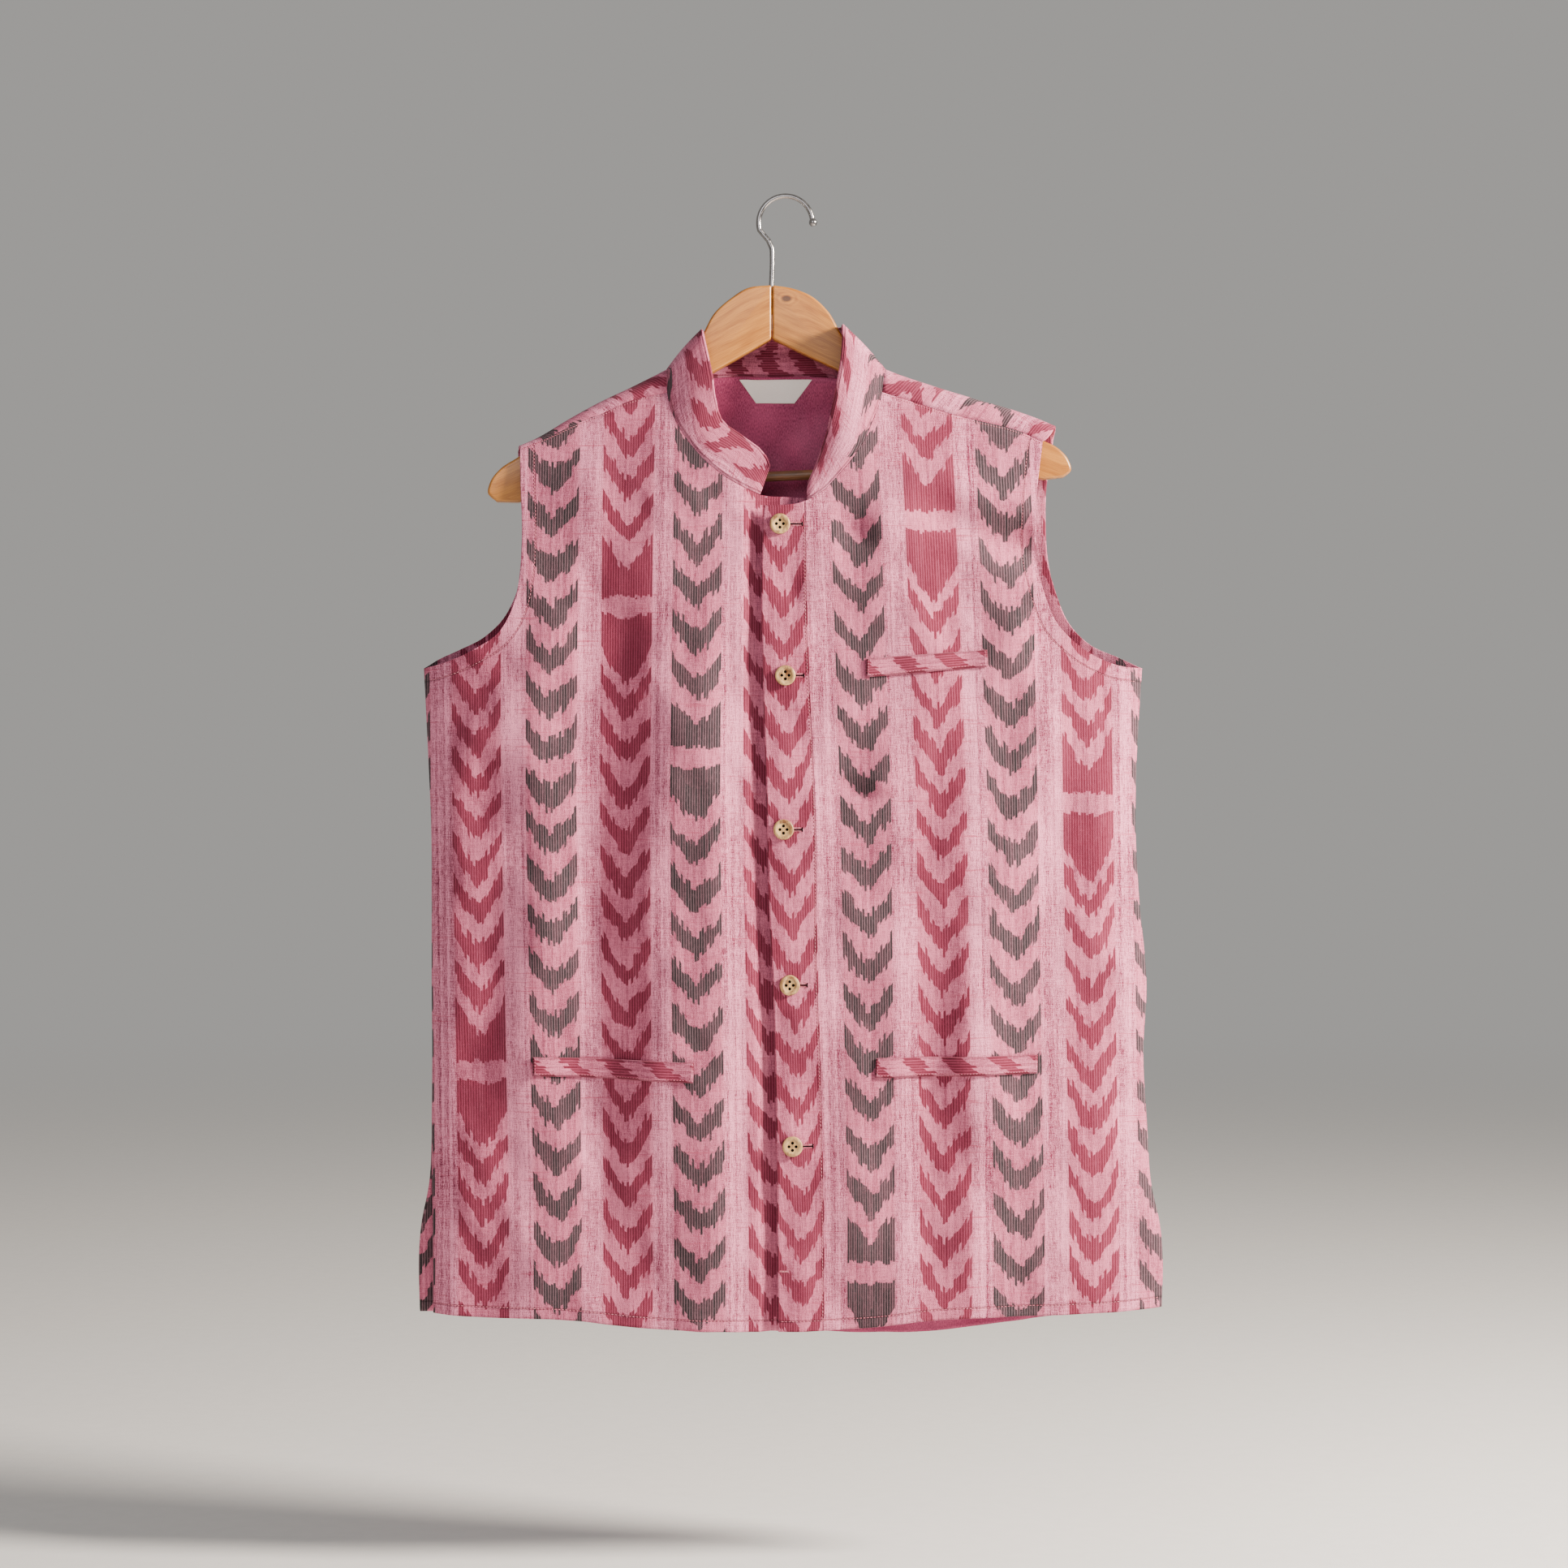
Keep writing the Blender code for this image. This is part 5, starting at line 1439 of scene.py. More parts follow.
def build_button(number, x, z, shell_material, dark):
    """A turned four-hole button, and the wrapped thread shank that it stands on, near-black so that its
    holes show painted shade.
    """
    face = place("front", "left", *to_w([(x, z)]).T)[0]
    half, name = BUTTON_THICKNESS / 2, f"button_{number}_shell"
    raw = turned(name + "_raw", button_profile(), 48)
    depth = -face[1] + BUTTON_GAP + half
    raw.location = metres((x, -depth, z))
    raw.rotation_euler = (math.pi / 2, BUTTON_TURNS[number - 1], 0)
    cutters = []
    for quarter in range(4):
        angle = math.pi / 2 * quarter
        hole_x = x + BUTTON_HOLE_SPREAD * math.cos(angle)
        hole_z = z + BUTTON_HOLE_SPREAD * math.sin(angle)
        ends = [(hole_x, -depth + reach, hole_z) for reach in (-BUTTON_THICKNESS, BUTTON_THICKNESS)]
        hole = rod(f"hole_{number}_{quarter}", *ends, BUTTON_HOLE_RADIUS, 20)
        boolean = raw.modifiers.new(hole.name, "BOOLEAN")
        boolean.operation, boolean.solver, boolean.object = "DIFFERENCE", "EXACT", hole
        cutters.append(hole)
    button = solid_copy(name, raw)
    for hole in cutters:
        bpy.data.objects.remove(hole)
    soften(button, 50)
    dress(button, "shell", shell_material)
    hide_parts(f"button_{number}")
    # The shank's near-black colour is painted shade, seen through the button's holes
    ends = [(x, -depth + reach, z) for reach in SHANK_REACH]
    shank = rod(f"button_{number}_shank", *ends, SHANK_RADIUS, 24)
    dress(solid_copy(shank.name, shank), "lining", dark)


def upright(x, z, half, lift=STITCH_LIFT):
    """A short upright line on the button strip, and the way that it faces."""
    return on_panel("front", "left", to_w([(x, z - half), (x, z + half)]), lift), TO_FRONT


def build_buttonholes(thread, dark):
    """Level buttonholes, each from under its button out to a bar of stitches, and the bar tack."""
    lines, slits = [], []
    for (x, z), end_x in zip(BUTTONS, BUTTONHOLE_ENDS):
        for rise in (-HOLE_ROW, HOLE_ROW):
            for at in np.arange(x + HOLE_START, end_x, HOLE_STEP):
                lines.append(upright(at, z + rise, HOLE_STITCH))
        lines += [upright(at, z, HOLE_BAR) for at in (end_x, end_x + HOLE_BAR_STEP)]
        xs = np.linspace(x + HOLE_START, end_x, 24)
        slit = to_w(np.stack([xs, z + 0 * xs], -1))
        slits.append((on_panel("front", "left", slit, SLIT_LIFT), TO_FRONT))
        slits.append(upright(end_x + SLIT_BAR[0], z, SLIT_BAR[1], SLIT_LIFT))
    for at in np.arange(*BAR_TACK[:2], HOLE_STEP):
        lines.append(upright(at, BAR_TACK[2], BAR_TACK_STITCH))
    stitches("buttonhole_stitching", lines, thread, "cloth", pitch=60, length=1.7, radius=0.23)
    # Each slit is a near-black row: painted shade in the buttonhole's cut
    stitches("buttonhole_slit_shade", slits, dark, "lining", pitch=1.0, length=1.3, radius=0.5)


def arm_outline(side):
    """One wooden arm seen from the front: crown, the edge that the shoulder rests on, free end."""
    arm = ARMS[side]
    shift = -GAP / 2 if side == "right" else GAP / 2
    xs = np.linspace(*arm["rest"], 24)
    rest = [(x, z - ARM_REST) for x, z in zip(xs, ridge(xs))]
    crown = run(arm["crown"], np.linspace(0, 1, 48)).tolist()
    tip = run(arm["tip"], np.linspace(0, 1, 40)).tolist()
    points = crown + rest + tip + arm["under"] + [NOTCH]
    return [(x + shift if abs(x - JOINT_X) < NEAR else x, z) for x, z in points]


def build_arm(side, wood):
    """A flat wooden arm with well rounded edges."""
    curve = bpy.data.curves.new("arm_" + side, "CURVE")
    curve.dimensions, curve.fill_mode = "2D", "BOTH"
    curve.extrude = ARM_THICKNESS / 2 * MM
    outline = arm_outline(side)
    line = curve.splines.new("POLY")
    line.points.add(len(outline) - 1)
    for point, (x, z) in zip(line.points, outline):
        point.co = (x * MM, z * MM, 0, 1)
    line.use_cyclic_u = True
    shape = put("arm_" + side, curve)
    shape.rotation_euler = (math.pi / 2, 0, 0)
    board = solid_copy("board_" + side, shape)
    edit = bmesh.new()
    edit.from_mesh(board.data)
    bmesh.ops.remove_doubles(edit, verts=edit.verts, dist=1e-5)
    bmesh.ops.dissolve_limit(edit, angle_limit=0.002, verts=edit.verts, edges=edit.edges)
    bmesh.ops.recalc_face_normals(edit, faces=edit.faces)
    edit.to_mesh(board.data)
    edit.free()
    bevel = board.modifiers.new("rounded edges", "BEVEL")
    bevel.width, bevel.segments = ARM_EDGE * MM, 5
    bevel.limit_method, bevel.angle_limit = "ANGLE", math.radians(60)
    arm = solid_copy("arm_" + side + "_wood", board)
    soften(arm, 55)
    x, y, z = points_mm(arm).T
    give(arm.data, {"wood_mm": np.stack([x, y, z - ridge(x)], -1)})
    dress(arm, "wood", wood)
    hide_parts("hanger_arm_" + side)


def build_hook(chrome):
    """The wire hook: a straight shank, a set-off bend, a round bow and a rounded end."""
    stem = run(HOOK_STEM, np.linspace(0, 1, 40))
    points = [(x, z, 1.0) for x, z in stem]
    for angle in np.radians(np.linspace(*HOOK_BEND, 80)):
        x = HOOK_CENTRE[0] + HOOK_RADIUS * math.cos(angle)
        z = HOOK_CENTRE[1] + HOOK_RADIUS * math.sin(angle)
        points.append((x, z, 1.0))
    points[-1:] = [(x + right, z + up, thick) for right, up, thick in HOOK_TIP]
    curve = bpy.data.curves.new("hook", "CURVE")
    curve.dimensions = "3D"
    curve.bevel_depth, curve.bevel_resolution, curve.use_fill_caps = WIRE_RADIUS * MM, 6, True
    line = curve.splines.new("POLY")
    line.points.add(len(points) - 1)
    for point, (x, z, thick) in zip(line.points, points):
        point.co, point.radius = (x * MM, 0, z * MM, 1), thick
    hook = solid_copy("hook_wire", put("hook", curve))
    hook.data.shade_smooth()
    hook.data.materials.clear()
    dress(hook, "chrome", chrome)
    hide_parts("hanger_hook")


def build_bar(wood):
    """The round bar between the arms."""
    ends = [(x, 0, z) for x, z in (BAR_LEFT, BAR_RIGHT)]
    bar = solid_copy("bar_wood", rod("bar_raw", *ends, BAR_RADIUS, 32))
    soften(bar, 50)
    give(bar.data, {"wood_mm": points_mm(bar)})
    dress(bar, "wood", wood)
    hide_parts("hanger_bar")


def colour(code):
    """An sRGB hex colour as linear light."""
    parts = [int(code[i:i + 2], 16) / 255 for i in (1, 3, 5)]
    return (*[p / 12.92 if p <= 0.04045 else ((p + 0.055) / 1.055) ** 2.4 for p in parts], 1)


def feed(tree, made, socket, value):
    """Gives a socket a hex colour, a value, or the output of the node that text names."""
    if isinstance(value, str) and value.startswith("#"):
        value = colour(value)
    if isinstance(value, str):
        source, _, output = value.partition(".")
        tree.links.new(made[source].outputs[output or 0], socket)
    else:
        socket.default_value = value


def lay(tree, rows):
    """Adds one node a row: its name, its kind and mode, then its inputs in order or by name."""
    made = {node.name: node for node in tree.nodes}
    for name, kind, *reads in rows:
        base, _, mode = kind.partition(" ")
        node = tree.nodes.new("ShaderNode" + base)
        node.name = node.label = name
        if mode:
            setattr(node, MODES[base], mode)
        pairs = list(enumerate(reads))
        if reads and isinstance(reads[-1], dict):
            pairs = pairs[:-1] + list(reads[-1].items())
        for key, value in pairs:
            feed(tree, made, node.inputs[key], value)
        made[name] = node
    return made


def material(name, rows, **surface):
    """A material with the rows' nodes, whose surface names the shader's inputs."""
    made = bpy.data.materials.new(name)
    made.use_nodes = True
    tree = made.node_tree
    nodes = lay(tree, rows)
    shader = tree.nodes["Principled BSDF"]
    for key, value in surface.items():
        feed(tree, nodes, shader.inputs[key.replace("_", " ")], value)
    return made


def handwoven_ikat():
    """Handloomed cotton whose warp was tied and dyed before weaving.

    Two-ply warp threads of uneven rose tone cross a finer weft in a soft twill, which gives the
    brushed melange. Bundles of warp were resist dyed, so chevrons are made of short dark threads
    that start and stop unevenly; red and grey-black columns take turns across the cloth.
    Lengths are millimetres of the flat cut, and a noise's scale is its cells a millimetre. The real
    threads are 0.3 mm thick, too fine to show, so the melange is drawn 0.7 mm wide and the dyed
    threads at DASH_PITCH.
    """
    rows = [
        ("cut", "Attribute cloth_mm"),
        ("flat", "SeparateXYZ", "cut.Vector"),
        ("place", "Attribute ikat_place"),
        ("where", "SeparateXYZ", "place.Vector"),
        ("period", "Attribute ikat_cut"),
        ("repeat", "SeparateXYZ", "period.Vector"),
        ("seams", "Attribute seam_mm"),
        ("far", "VectorMath ABSOLUTE", "seams.Vector"),
        ("seam", "SeparateXYZ", "far.Vector"),
        # Which dyed thread this is, where across its own width, and its tied bundle of two or three
        ("threads", "Math DIVIDE", "flat.X", DASH_PITCH),
        ("thread", "Math FLOOR", "threads"),
        ("across", "Math FRACT", "threads"),
        ("off_middle", "Math SUBTRACT", "across", 0.5),
        ("aside", "Math ABSOLUTE", "off_middle"),
        ("dark_line", "MapRange SMOOTHSTEP", "aside", 0.40, 0.28, 0.0, 1.0),
        ("bundles", "Math DIVIDE", "thread", 2.6),
        ("bundle", "Math FLOOR", "bundles"),
        # Where the point is in the repeat of chevrons, measured along the warp. A column's threads dip
        # to its middle, and each bundle slips a little, as tied warp does on the loom
        ("bend", "Math MULTIPLY_ADD", "where.Z", 0.25, 1.3),
        ("rounded", "Math POWER", "where.X", "bend"),
        ("inner", "Math SUBTRACT", 1.0, "rounded"),
        ("dip", "Math MULTIPLY", "inner", "repeat.Y"),
        ("tie_key", "CombineXYZ", "bundle", 0.0, "where.Z"),
        ("tie_draw", "TexWhiteNoise 3D", "tie_key"),
        ("wobble_at", "VectorMath MULTIPLY", "cut.Vector", (0.05, 0.04, 0.0)),
        ("wobble", "TexNoise 2D", {"Vector": "wobble_at", "Scale": 1.0, "Detail": 2.0}),
        ("odd_slow", "Math MULTIPLY_ADD", "wobble", 9.0, -5.6),
        ("odd", "Math MULTIPLY_ADD", "tie_draw.Value", 2.6, "odd_slow"),
        ("way", "Math ADD", "where.Y", "odd"),
        ("level", "Math SUBTRACT", "way", "dip"),
        ("below", "Math GREATER_THAN", "where.Y", 0.0),
        ("above", "Math SUBTRACT", 1.0, "below"),
        ("block_from", "MapRange LINEAR", "where.Z", 0.0, 1.0, BLOCK_TOP["red"] + 4, BLOCK_TOP["grey"] + 4),
        ("shield_to", "MapRange LINEAR", "where.Z", 0.0, 1.0, SHIELD_FOOT["red"], SHIELD_FOOT["grey"]),
        ("up_shift", "Math MULTIPLY", "above", "block_from"),
        ("shift", "Math MULTIPLY_ADD", "below", -SHIELD_SHIFT, "up_shift"),
        ("from_start", "Math ADD", "level", "shift"),
        ("turns", "Math DIVIDE", "from_start", "repeat.X"),
        ("turn", "Math FLOOR", "turns"),
        ("part", "Math FRACT", "turns"),
        ("along", "Math MULTIPLY", "part", "repeat.X"),
        ("thread_key", "CombineXYZ", "thread", "turn", "where.Z"),
        ("thread_draw", "TexWhiteNoise 3D", "thread_key"),
        ("thread_odds", "SeparateColor", "thread_draw.Color"),
        ("bundle_key", "CombineXYZ", "bundle", "turn", 5.0),
        ("bundle_draw", "TexWhiteNoise 3D", "bundle_key"),
        ("bundle_odds", "SeparateColor", "bundle_draw.Color"),
        ("early_thread", "Math MULTIPLY_ADD", "thread_odds.Red", 6.4, DASH_FROM - 4.6),
        ("early", "Math MULTIPLY_ADD", "bundle_odds.Red", 2.8, "early_thread"),
        ("late_thread", "Math MULTIPLY_ADD", "thread_odds.Green", 6.6, -4.6),
        ("late_bundle", "Math MULTIPLY_ADD", "bundle_odds.Green", 2.6, "late_thread"),
        ("late_dip", "Math MULTIPLY_ADD", "dip", DASH_DEEPER, "late_bundle"),
        ("dash_to", "MapRange LINEAR", "where.Z", 0.0, 1.0, DASH_TO["red"], DASH_TO["grey"]),
        ("late", "Math ADD", "late_dip", "dash_to"),
        ("past_start", "Math SUBTRACT", "along", "early"),
        ("before_end", "Math SUBTRACT", "late", "along"),
        ("starts", "MapRange SMOOTHSTEP", "past_start", 0.0, 1.0, 0.0, 1.0),
        ("ends", "MapRange SMOOTHSTEP", "before_end", 0.0, 1.0, 0.0, 1.0),
        ("chevron", "Math MULTIPLY", "starts", "ends"),
        # The solid block above a join and the shield under it, with plain ground between them
        ("block_in", "Math SUBTRACT", "from_start", "early"),
        ("block_on", "MapRange SMOOTHSTEP", "block_in", 0.0, 1.0, 0.0, 1.0),
        ("block", "Math MULTIPLY", "block_on", "above"),
        ("shield_edge", "Math ADD", "late_dip", "shield_to"),
        ("shield_in", "Math SUBTRACT", "shield_edge", "level"),
        ("shield_on", "MapRange SMOOTHSTEP", "shield_in", 0.0, 1.0, 0.0, 1.0),
        ("shield", "Math MULTIPLY", "shield_on", "below"),
        ("solid", "Math MAXIMUM", "block", "shield"),
        ("figure", "Math MAXIMUM", "chevron", "solid"),
        ("join_far", "Math ABSOLUTE", "where.Y"),
        ("join_dip", "Math MULTIPLY", "inner", "below"),
        ("join_thread", "Math MULTIPLY_ADD", "thread_odds.Blue", -3.4, JOIN_HALF + 1.6),
        ("join_bundle", "Math MULTIPLY_ADD", "bundle_odds.Blue", 2.0, "join_thread"),
        ("join_edge", "Math MULTIPLY_ADD", "join_dip", 3.2, "join_bundle"),
        ("join_in", "Math SUBTRACT", "join_far", "join_edge"),
        ("join_open", "MapRange SMOOTHSTEP", "join_in", -0.4, 0.6, 0.0, 1.0),
        ("in_column", "MapRange LINEAR", "where.X", 1.01, 0.985, 0.0, 1.0),
        ("in_haze", "MapRange SMOOTHSTEP", "where.X", 1.14, 0.84, 0.0, 1.0),
        ("held", "Math MULTIPLY", "figure", "join_open"),
        ("bound", "Math MULTIPLY", "held", "in_column"),
        ("strength", "Math MULTIPLY_ADD", "thread_odds.Blue", 0.16, 0.84),
        ("strong", "Math MULTIPLY", "bound", "strength"),
        # Uneven uptake of the dye along a thread, in streaks some 4 mm long
        ("streak_key", "CombineXYZ", "threads", "flat.Y", 0.0),
        ("streak_at", "VectorMath MULTIPLY", "streak_key", (1.0, 0.28, 1.0)),
        ("streak", "TexNoise 2D", {"Vector": "streak_at", "Scale": 1.0, "Detail": 3.0, "Roughness": 0.6}),
        ("uptake", "MapRange LINEAR", "streak", 0.3, 0.5, 0.72, 1.0),
        ("lines", "Math MULTIPLY", "dark_line", "uptake"),
        ("line_depth", "MapRange LINEAR", "where.Z", 0.0, 1.0, 0.7, 0.85),
        ("line_mark", "Math MULTIPLY", "strong", "lines"),
        ("mark", "Math MULTIPLY", "line_mark", "line_depth"),
        # Ground: warp streaks 8 mm long, weft streaks 9 mm long, flecks of 1 mm, bands of warp 2 mm
        # wide, and a drift of tone over 50 to 80 mm
        ("fine_at", "VectorMath MULTIPLY", "cut.Vector", (1.5, 0.13, 0.0)),
        ("fine", "TexNoise 2D", {"Vector": "fine_at", "Scale": 1.0, "Detail": 4.0, "Roughness": 0.72}),
        ("weft_at", "VectorMath MULTIPLY", "cut.Vector", (0.11, 1.5, 0.0)),
        ("weft", "TexNoise 2D", {"Vector": "weft_at", "Scale": 1.0, "Detail": 3.0, "Roughness": 0.7}),
        ("fleck_at", "VectorMath MULTIPLY", "cut.Vector", (1.3, 1.0, 0.0)),
        ("fleck", "TexNoise 2D", {"Vector": "fleck_at", "Scale": 1.0, "Detail": 2.0, "Roughness": 0.8}),
        ("drift_at", "VectorMath MULTIPLY", "cut.Vector", (0.021, 0.013, 0.0)),
        ("drift", "TexNoise 2D", {"Vector": "drift_at", "Scale": 1.0, "Detail": 3.0, "Roughness": 0.55}),
        ("ends_at", "VectorMath MULTIPLY", "cut.Vector", (0.46, 0.011, 0.0)),
        ("ends_laid", "TexNoise 2D", {"Vector": "ends_at", "Scale": 1.0, "Detail": 2.0, "Roughness": 0.7}),
        ("warp_end_key", "CombineXYZ", "thread", 3.0, 0.0),
        ("warp_end", "TexWhiteNoise 3D", "warp_end_key"),
        ("with_weft", "Math MULTIPLY_ADD", "weft", 0.55, "fine"),
        ("with_fleck", "Math MULTIPLY_ADD", "fleck", 0.8, "with_weft"),
        ("with_ends", "Math MULTIPLY_ADD", "ends_laid", 0.4, "with_fleck"),
        ("with_warp", "Math MULTIPLY_ADD", "warp_end.Value", 0.2, "with_ends"),
        ("with_drift", "Math MULTIPLY_ADD", "drift", 0.45, "with_warp"),
        ("tone", "MapRange LINEAR", "with_drift", 1.4, 1.92, 0.0, 1.0),
        ("ground", "MixRGB MIX", "tone", "#661634", "#ea90ac"),
        # Weft slubs, redder and some 40 mm long
        ("slub_at", "VectorMath MULTIPLY", "cut.Vector", (0.024, 0.75, 0.0)),
        ("slub_laid", "TexNoise 2D", {"Vector": "slub_at", "Scale": 1.0, "Detail": 0.0}),
        ("slub", "MapRange SMOOTHSTEP", "slub_laid", 0.76, 0.84, 0.0, 0.5),
        ("slubbed", "MixRGB MIX", "slub", "ground", "#a03450"),
        # A dyed column's own ground is evener and redder, and its dye strays into it
        ("haze_in", "Math MULTIPLY", "in_haze", 0.3),
        ("ground_tinted", "MixRGB MULTIPLY", "haze_in", "slubbed", "#e07a94"),
        ("even_in", "Math MULTIPLY", "in_haze", 0.34),
        ("ground_column", "MixRGB MIX", "even_in", "ground_tinted", "#b0617b"),
        ("dye", "MixRGB MIX", "where.Z", "#4a0a1a", "#08080a"),
        ("stain", "MixRGB MIX", "where.Z", "#8e304a", "#555053"),
        ("spread", "Math MULTIPLY", "strong", 0.88),
        ("stained", "MixRGB MIX", "spread", "ground_column", "stain"),
        ("dyed_cloth", "MixRGB MIX", "mark", "stained", "dye"),
        # Rows of stitching draw the cloth in, and painted shade darkens the cloth along each stitched line
        # and round each welt's edges; the twill gives the fine relief
        ("seam_near", "Math MINIMUM", "seam.X", "seam.Y"),
        ("seam_nearest", "Math MINIMUM", "seam_near", "seam.Z"),
        ("groove", "MapRange SMOOTHSTEP", "seam_nearest", 0.1, 1.2, 0.0, 1.0),
        ("groove_shade", "MapRange LINEAR", "groove", 0.0, 1.0, 0.42, 0.0),
        ("cloth", "MixRGB MULTIPLY", "groove_shade", "dyed_cloth", "#5a2a34"),
        ("twill_sum", "Math SUBTRACT", "flat.X", "flat.Y"),
        ("twill_turn", "Math MULTIPLY", "twill_sum", 2 * math.pi / TWILL_PITCH),
        ("twill", "Math SINE", "twill_turn"),
        ("twill_relief", "Math MULTIPLY_ADD", "twill", 0.10, "fine"),
        ("fleck_relief", "Math MULTIPLY_ADD", "fleck", 0.7, "twill_relief"),
        ("seam_relief", "Math MULTIPLY_ADD", "groove", 1.6, "fleck_relief"),
        ("relief", "Bump", {"Height": "seam_relief", "Distance": 0.00032, "Strength": 0.9}),
    ]
    fuzz = {"Roughness": 0.86, "Specular_IOR_Level": 0.15, "Sheen_Weight": 0.08, "Sheen_Roughness": 0.5}
    return material("handwoven_ikat_cotton", rows, Base_Color="cloth", Normal="relief", **fuzz)


def plum_lining():
    """Polyester satin lining, piece dyed plum: a tight smooth weave with a soft sheen and creases.

    Its threads are too fine to show and are drawn 0.6 by 2 mm; its creases are some 30 mm apart, and its
    tone follows their relief, lighter on crests and darker in hollows: painted light and shade.
    """
    rows = [
        ("cut", "Attribute cloth_mm"),
        ("crease_at", "VectorMath MULTIPLY", "cut.Vector", (0.035, 0.03, 0.0)),
        ("crease", "TexNoise 2D", {"Vector": "crease_at", "Scale": 1.0, "Detail": 3.0, "Roughness": 0.5}),
        ("weave_at", "VectorMath MULTIPLY", "cut.Vector", (1.6, 0.5, 0.0)),
        ("weave", "TexNoise 2D", {"Vector": "weave_at", "Scale": 1.0, "Detail": 3.0, "Roughness": 0.7}),
        # The crease relief also lifts and lowers the tone: painted light and shade on the creases
        ("creased", "Math MULTIPLY_ADD", "crease", 0.45, "weave"),
        ("tone", "MapRange LINEAR", "creased", 0.5, 1.0, 0.0, 1.0),
        ("plum", "MixRGB MIX", "tone", "#7a1c46", "#cc5480"),
        ("height", "Math MULTIPLY_ADD", "weave", 0.12, "crease"),
        ("relief", "Bump", {"Height": "height", "Distance": 0.0012, "Strength": 0.8}),
    ]
    sheen = {"Roughness": 0.46, "Specular_IOR_Level": 0.3}
    return material("plum_satin_lining", rows, Base_Color="plum", Normal="relief", **sheen)


def sewing_thread():
    """Two-ply cotton sewing thread, rose, with paler flecks about 1 mm apart painted as highlights on its
    twist.
    """
    rows = [
        ("place", "NewGeometry"),
        ("fleck", "TexNoise 3D", {"Vector": "place.Position", "Scale": 900.0, "Detail": 2.0}),
        ("tone", "MapRange LINEAR", "fleck", 0.35, 0.65, 0.0, 1.0),
        ("thread", "MixRGB MIX", "tone", "#9c4257", "#cf7c8c"),
        ("relief", "Bump", {"Height": "fleck", "Distance": 0.0002, "Strength": 0.5}),
    ]
    return material("cotton_sewing_thread", rows, Base_Color="thread", Roughness=0.7, Normal="relief")


def label_satin():
    """White woven satin ribbon: fine lengthwise floats, 0.3 by 2.5 mm, which give its soft sheen."""
    rows = [
        ("cut", "Attribute cloth_mm"),
        ("rib_at", "VectorMath MULTIPLY", "cut.Vector", (0.4, 3.0, 0.0)),
        ("rib", "TexNoise 2D", {"Vector": "rib_at", "Scale": 1.0, "Detail": 3.0}),
        ("white", "MixRGB MIX", "rib", "#f0e6de", "#fdf8f4"),
        ("relief", "Bump", {"Height": "rib", "Distance": 0.0002, "Strength": 0.4}),
    ]
    return material("white_satin_ribbon", rows, Base_Color="white", Roughness=0.5, Normal="relief")


def turned_shell():
    """Turned and polished coconut shell: cream to brown, in streaks 1 to 4 mm wide across the face."""
    rows = [
        ("place", "TexCoord"),
        ("across", "VectorMath MULTIPLY", "place.Object", (260.0, 900.0, 60.0)),
        ("grain", "TexNoise 3D", {"Vector": "across", "Scale": 1.0, "Detail": 4.0, "Roughness": 0.65}),
        ("tone", "MapRange LINEAR", "grain", 0.36, 0.66, 0.0, 1.0),
        ("tan", "MixRGB MIX", "tone", "#6a3f1a", "#d4ae74"),
        ("relief", "Bump", {"Height": "grain", "Distance": 0.0001, "Strength": 0.4}),
    ]
    return material("turned_coconut_shell", rows, Base_Color="tan", Roughness=0.42, Normal="relief")


def varnished_wood(name, pale, deep, gloss):
    """Beech, sanded and varnished: long grain under a clear coat, which gives a soft shine.

    Its pores are drawn 0.7 mm wide and 20 mm long, wider than the real ones so that they show. A
    small dark knot with rings round it lies where KNOT says.
    """
    rows = [
        ("cut", "Attribute wood_mm"),
        ("warp_at", "VectorMath MULTIPLY", "cut.Vector", (0.012, 0.1, 0.09)),
        ("bend", "TexNoise 3D", {"Vector": "warp_at", "Scale": 1.0, "Detail": 2.0}),
        ("rings_at", "Math MULTIPLY", "bend", 26.0),
        ("rings", "Math SINE", "rings_at"),
        ("pores_at", "VectorMath MULTIPLY", "cut.Vector", (0.05, 1.4, 1.4)),
        ("pores", "TexNoise 3D", {"Vector": "pores_at", "Scale": 1.0, "Detail": 4.0, "Roughness": 0.7}),
        # How far the knot is in millimetres, squeezed along the grain
        ("spot", "TexCoord"),
        ("from_knot", "VectorMath SUBTRACT", "spot.Object", KNOT),
        ("knot_oval", "VectorMath MULTIPLY", "from_knot.Vector", (650.0, 0.0, 1000.0)),
        ("knot_far", "VectorMath LENGTH", "knot_oval.Vector"),
        ("knot_turns", "Math MULTIPLY", "knot_far.Value", 2.2),
        ("knot_rings", "Math SINE", "knot_turns"),
        ("near_knot", "MapRange SMOOTHSTEP", "knot_far.Value", 9.0, 1.5, 0.0, 0.14),
        ("knot_grain", "Math MULTIPLY", "knot_rings", "near_knot"),
        ("with_rings", "Math MULTIPLY_ADD", "rings", 0.09, "pores"),
        ("with_knot", "Math ADD", "with_rings", "knot_grain"),
        ("tone", "MapRange LINEAR", "with_knot", 0.3, 0.7, 0.0, 1.0),
        ("long_grain", "MixRGB MIX", "tone", deep, pale),
        ("knot", "MapRange SMOOTHSTEP", "knot_far.Value", 3.2, 1.4, 0.0, 0.9),
        ("grain", "MixRGB MIX", "knot", "long_grain", "#3c1f0c"),
        ("relief", "Bump", {"Height": "pores", "Distance": 0.0001, "Strength": 0.3}),
    ]
    coat = {"Coat_Weight": 0.35, "Coat_Roughness": 0.25}
    return material(name, rows, Base_Color="grain", Roughness=gloss, Normal="relief", **coat)


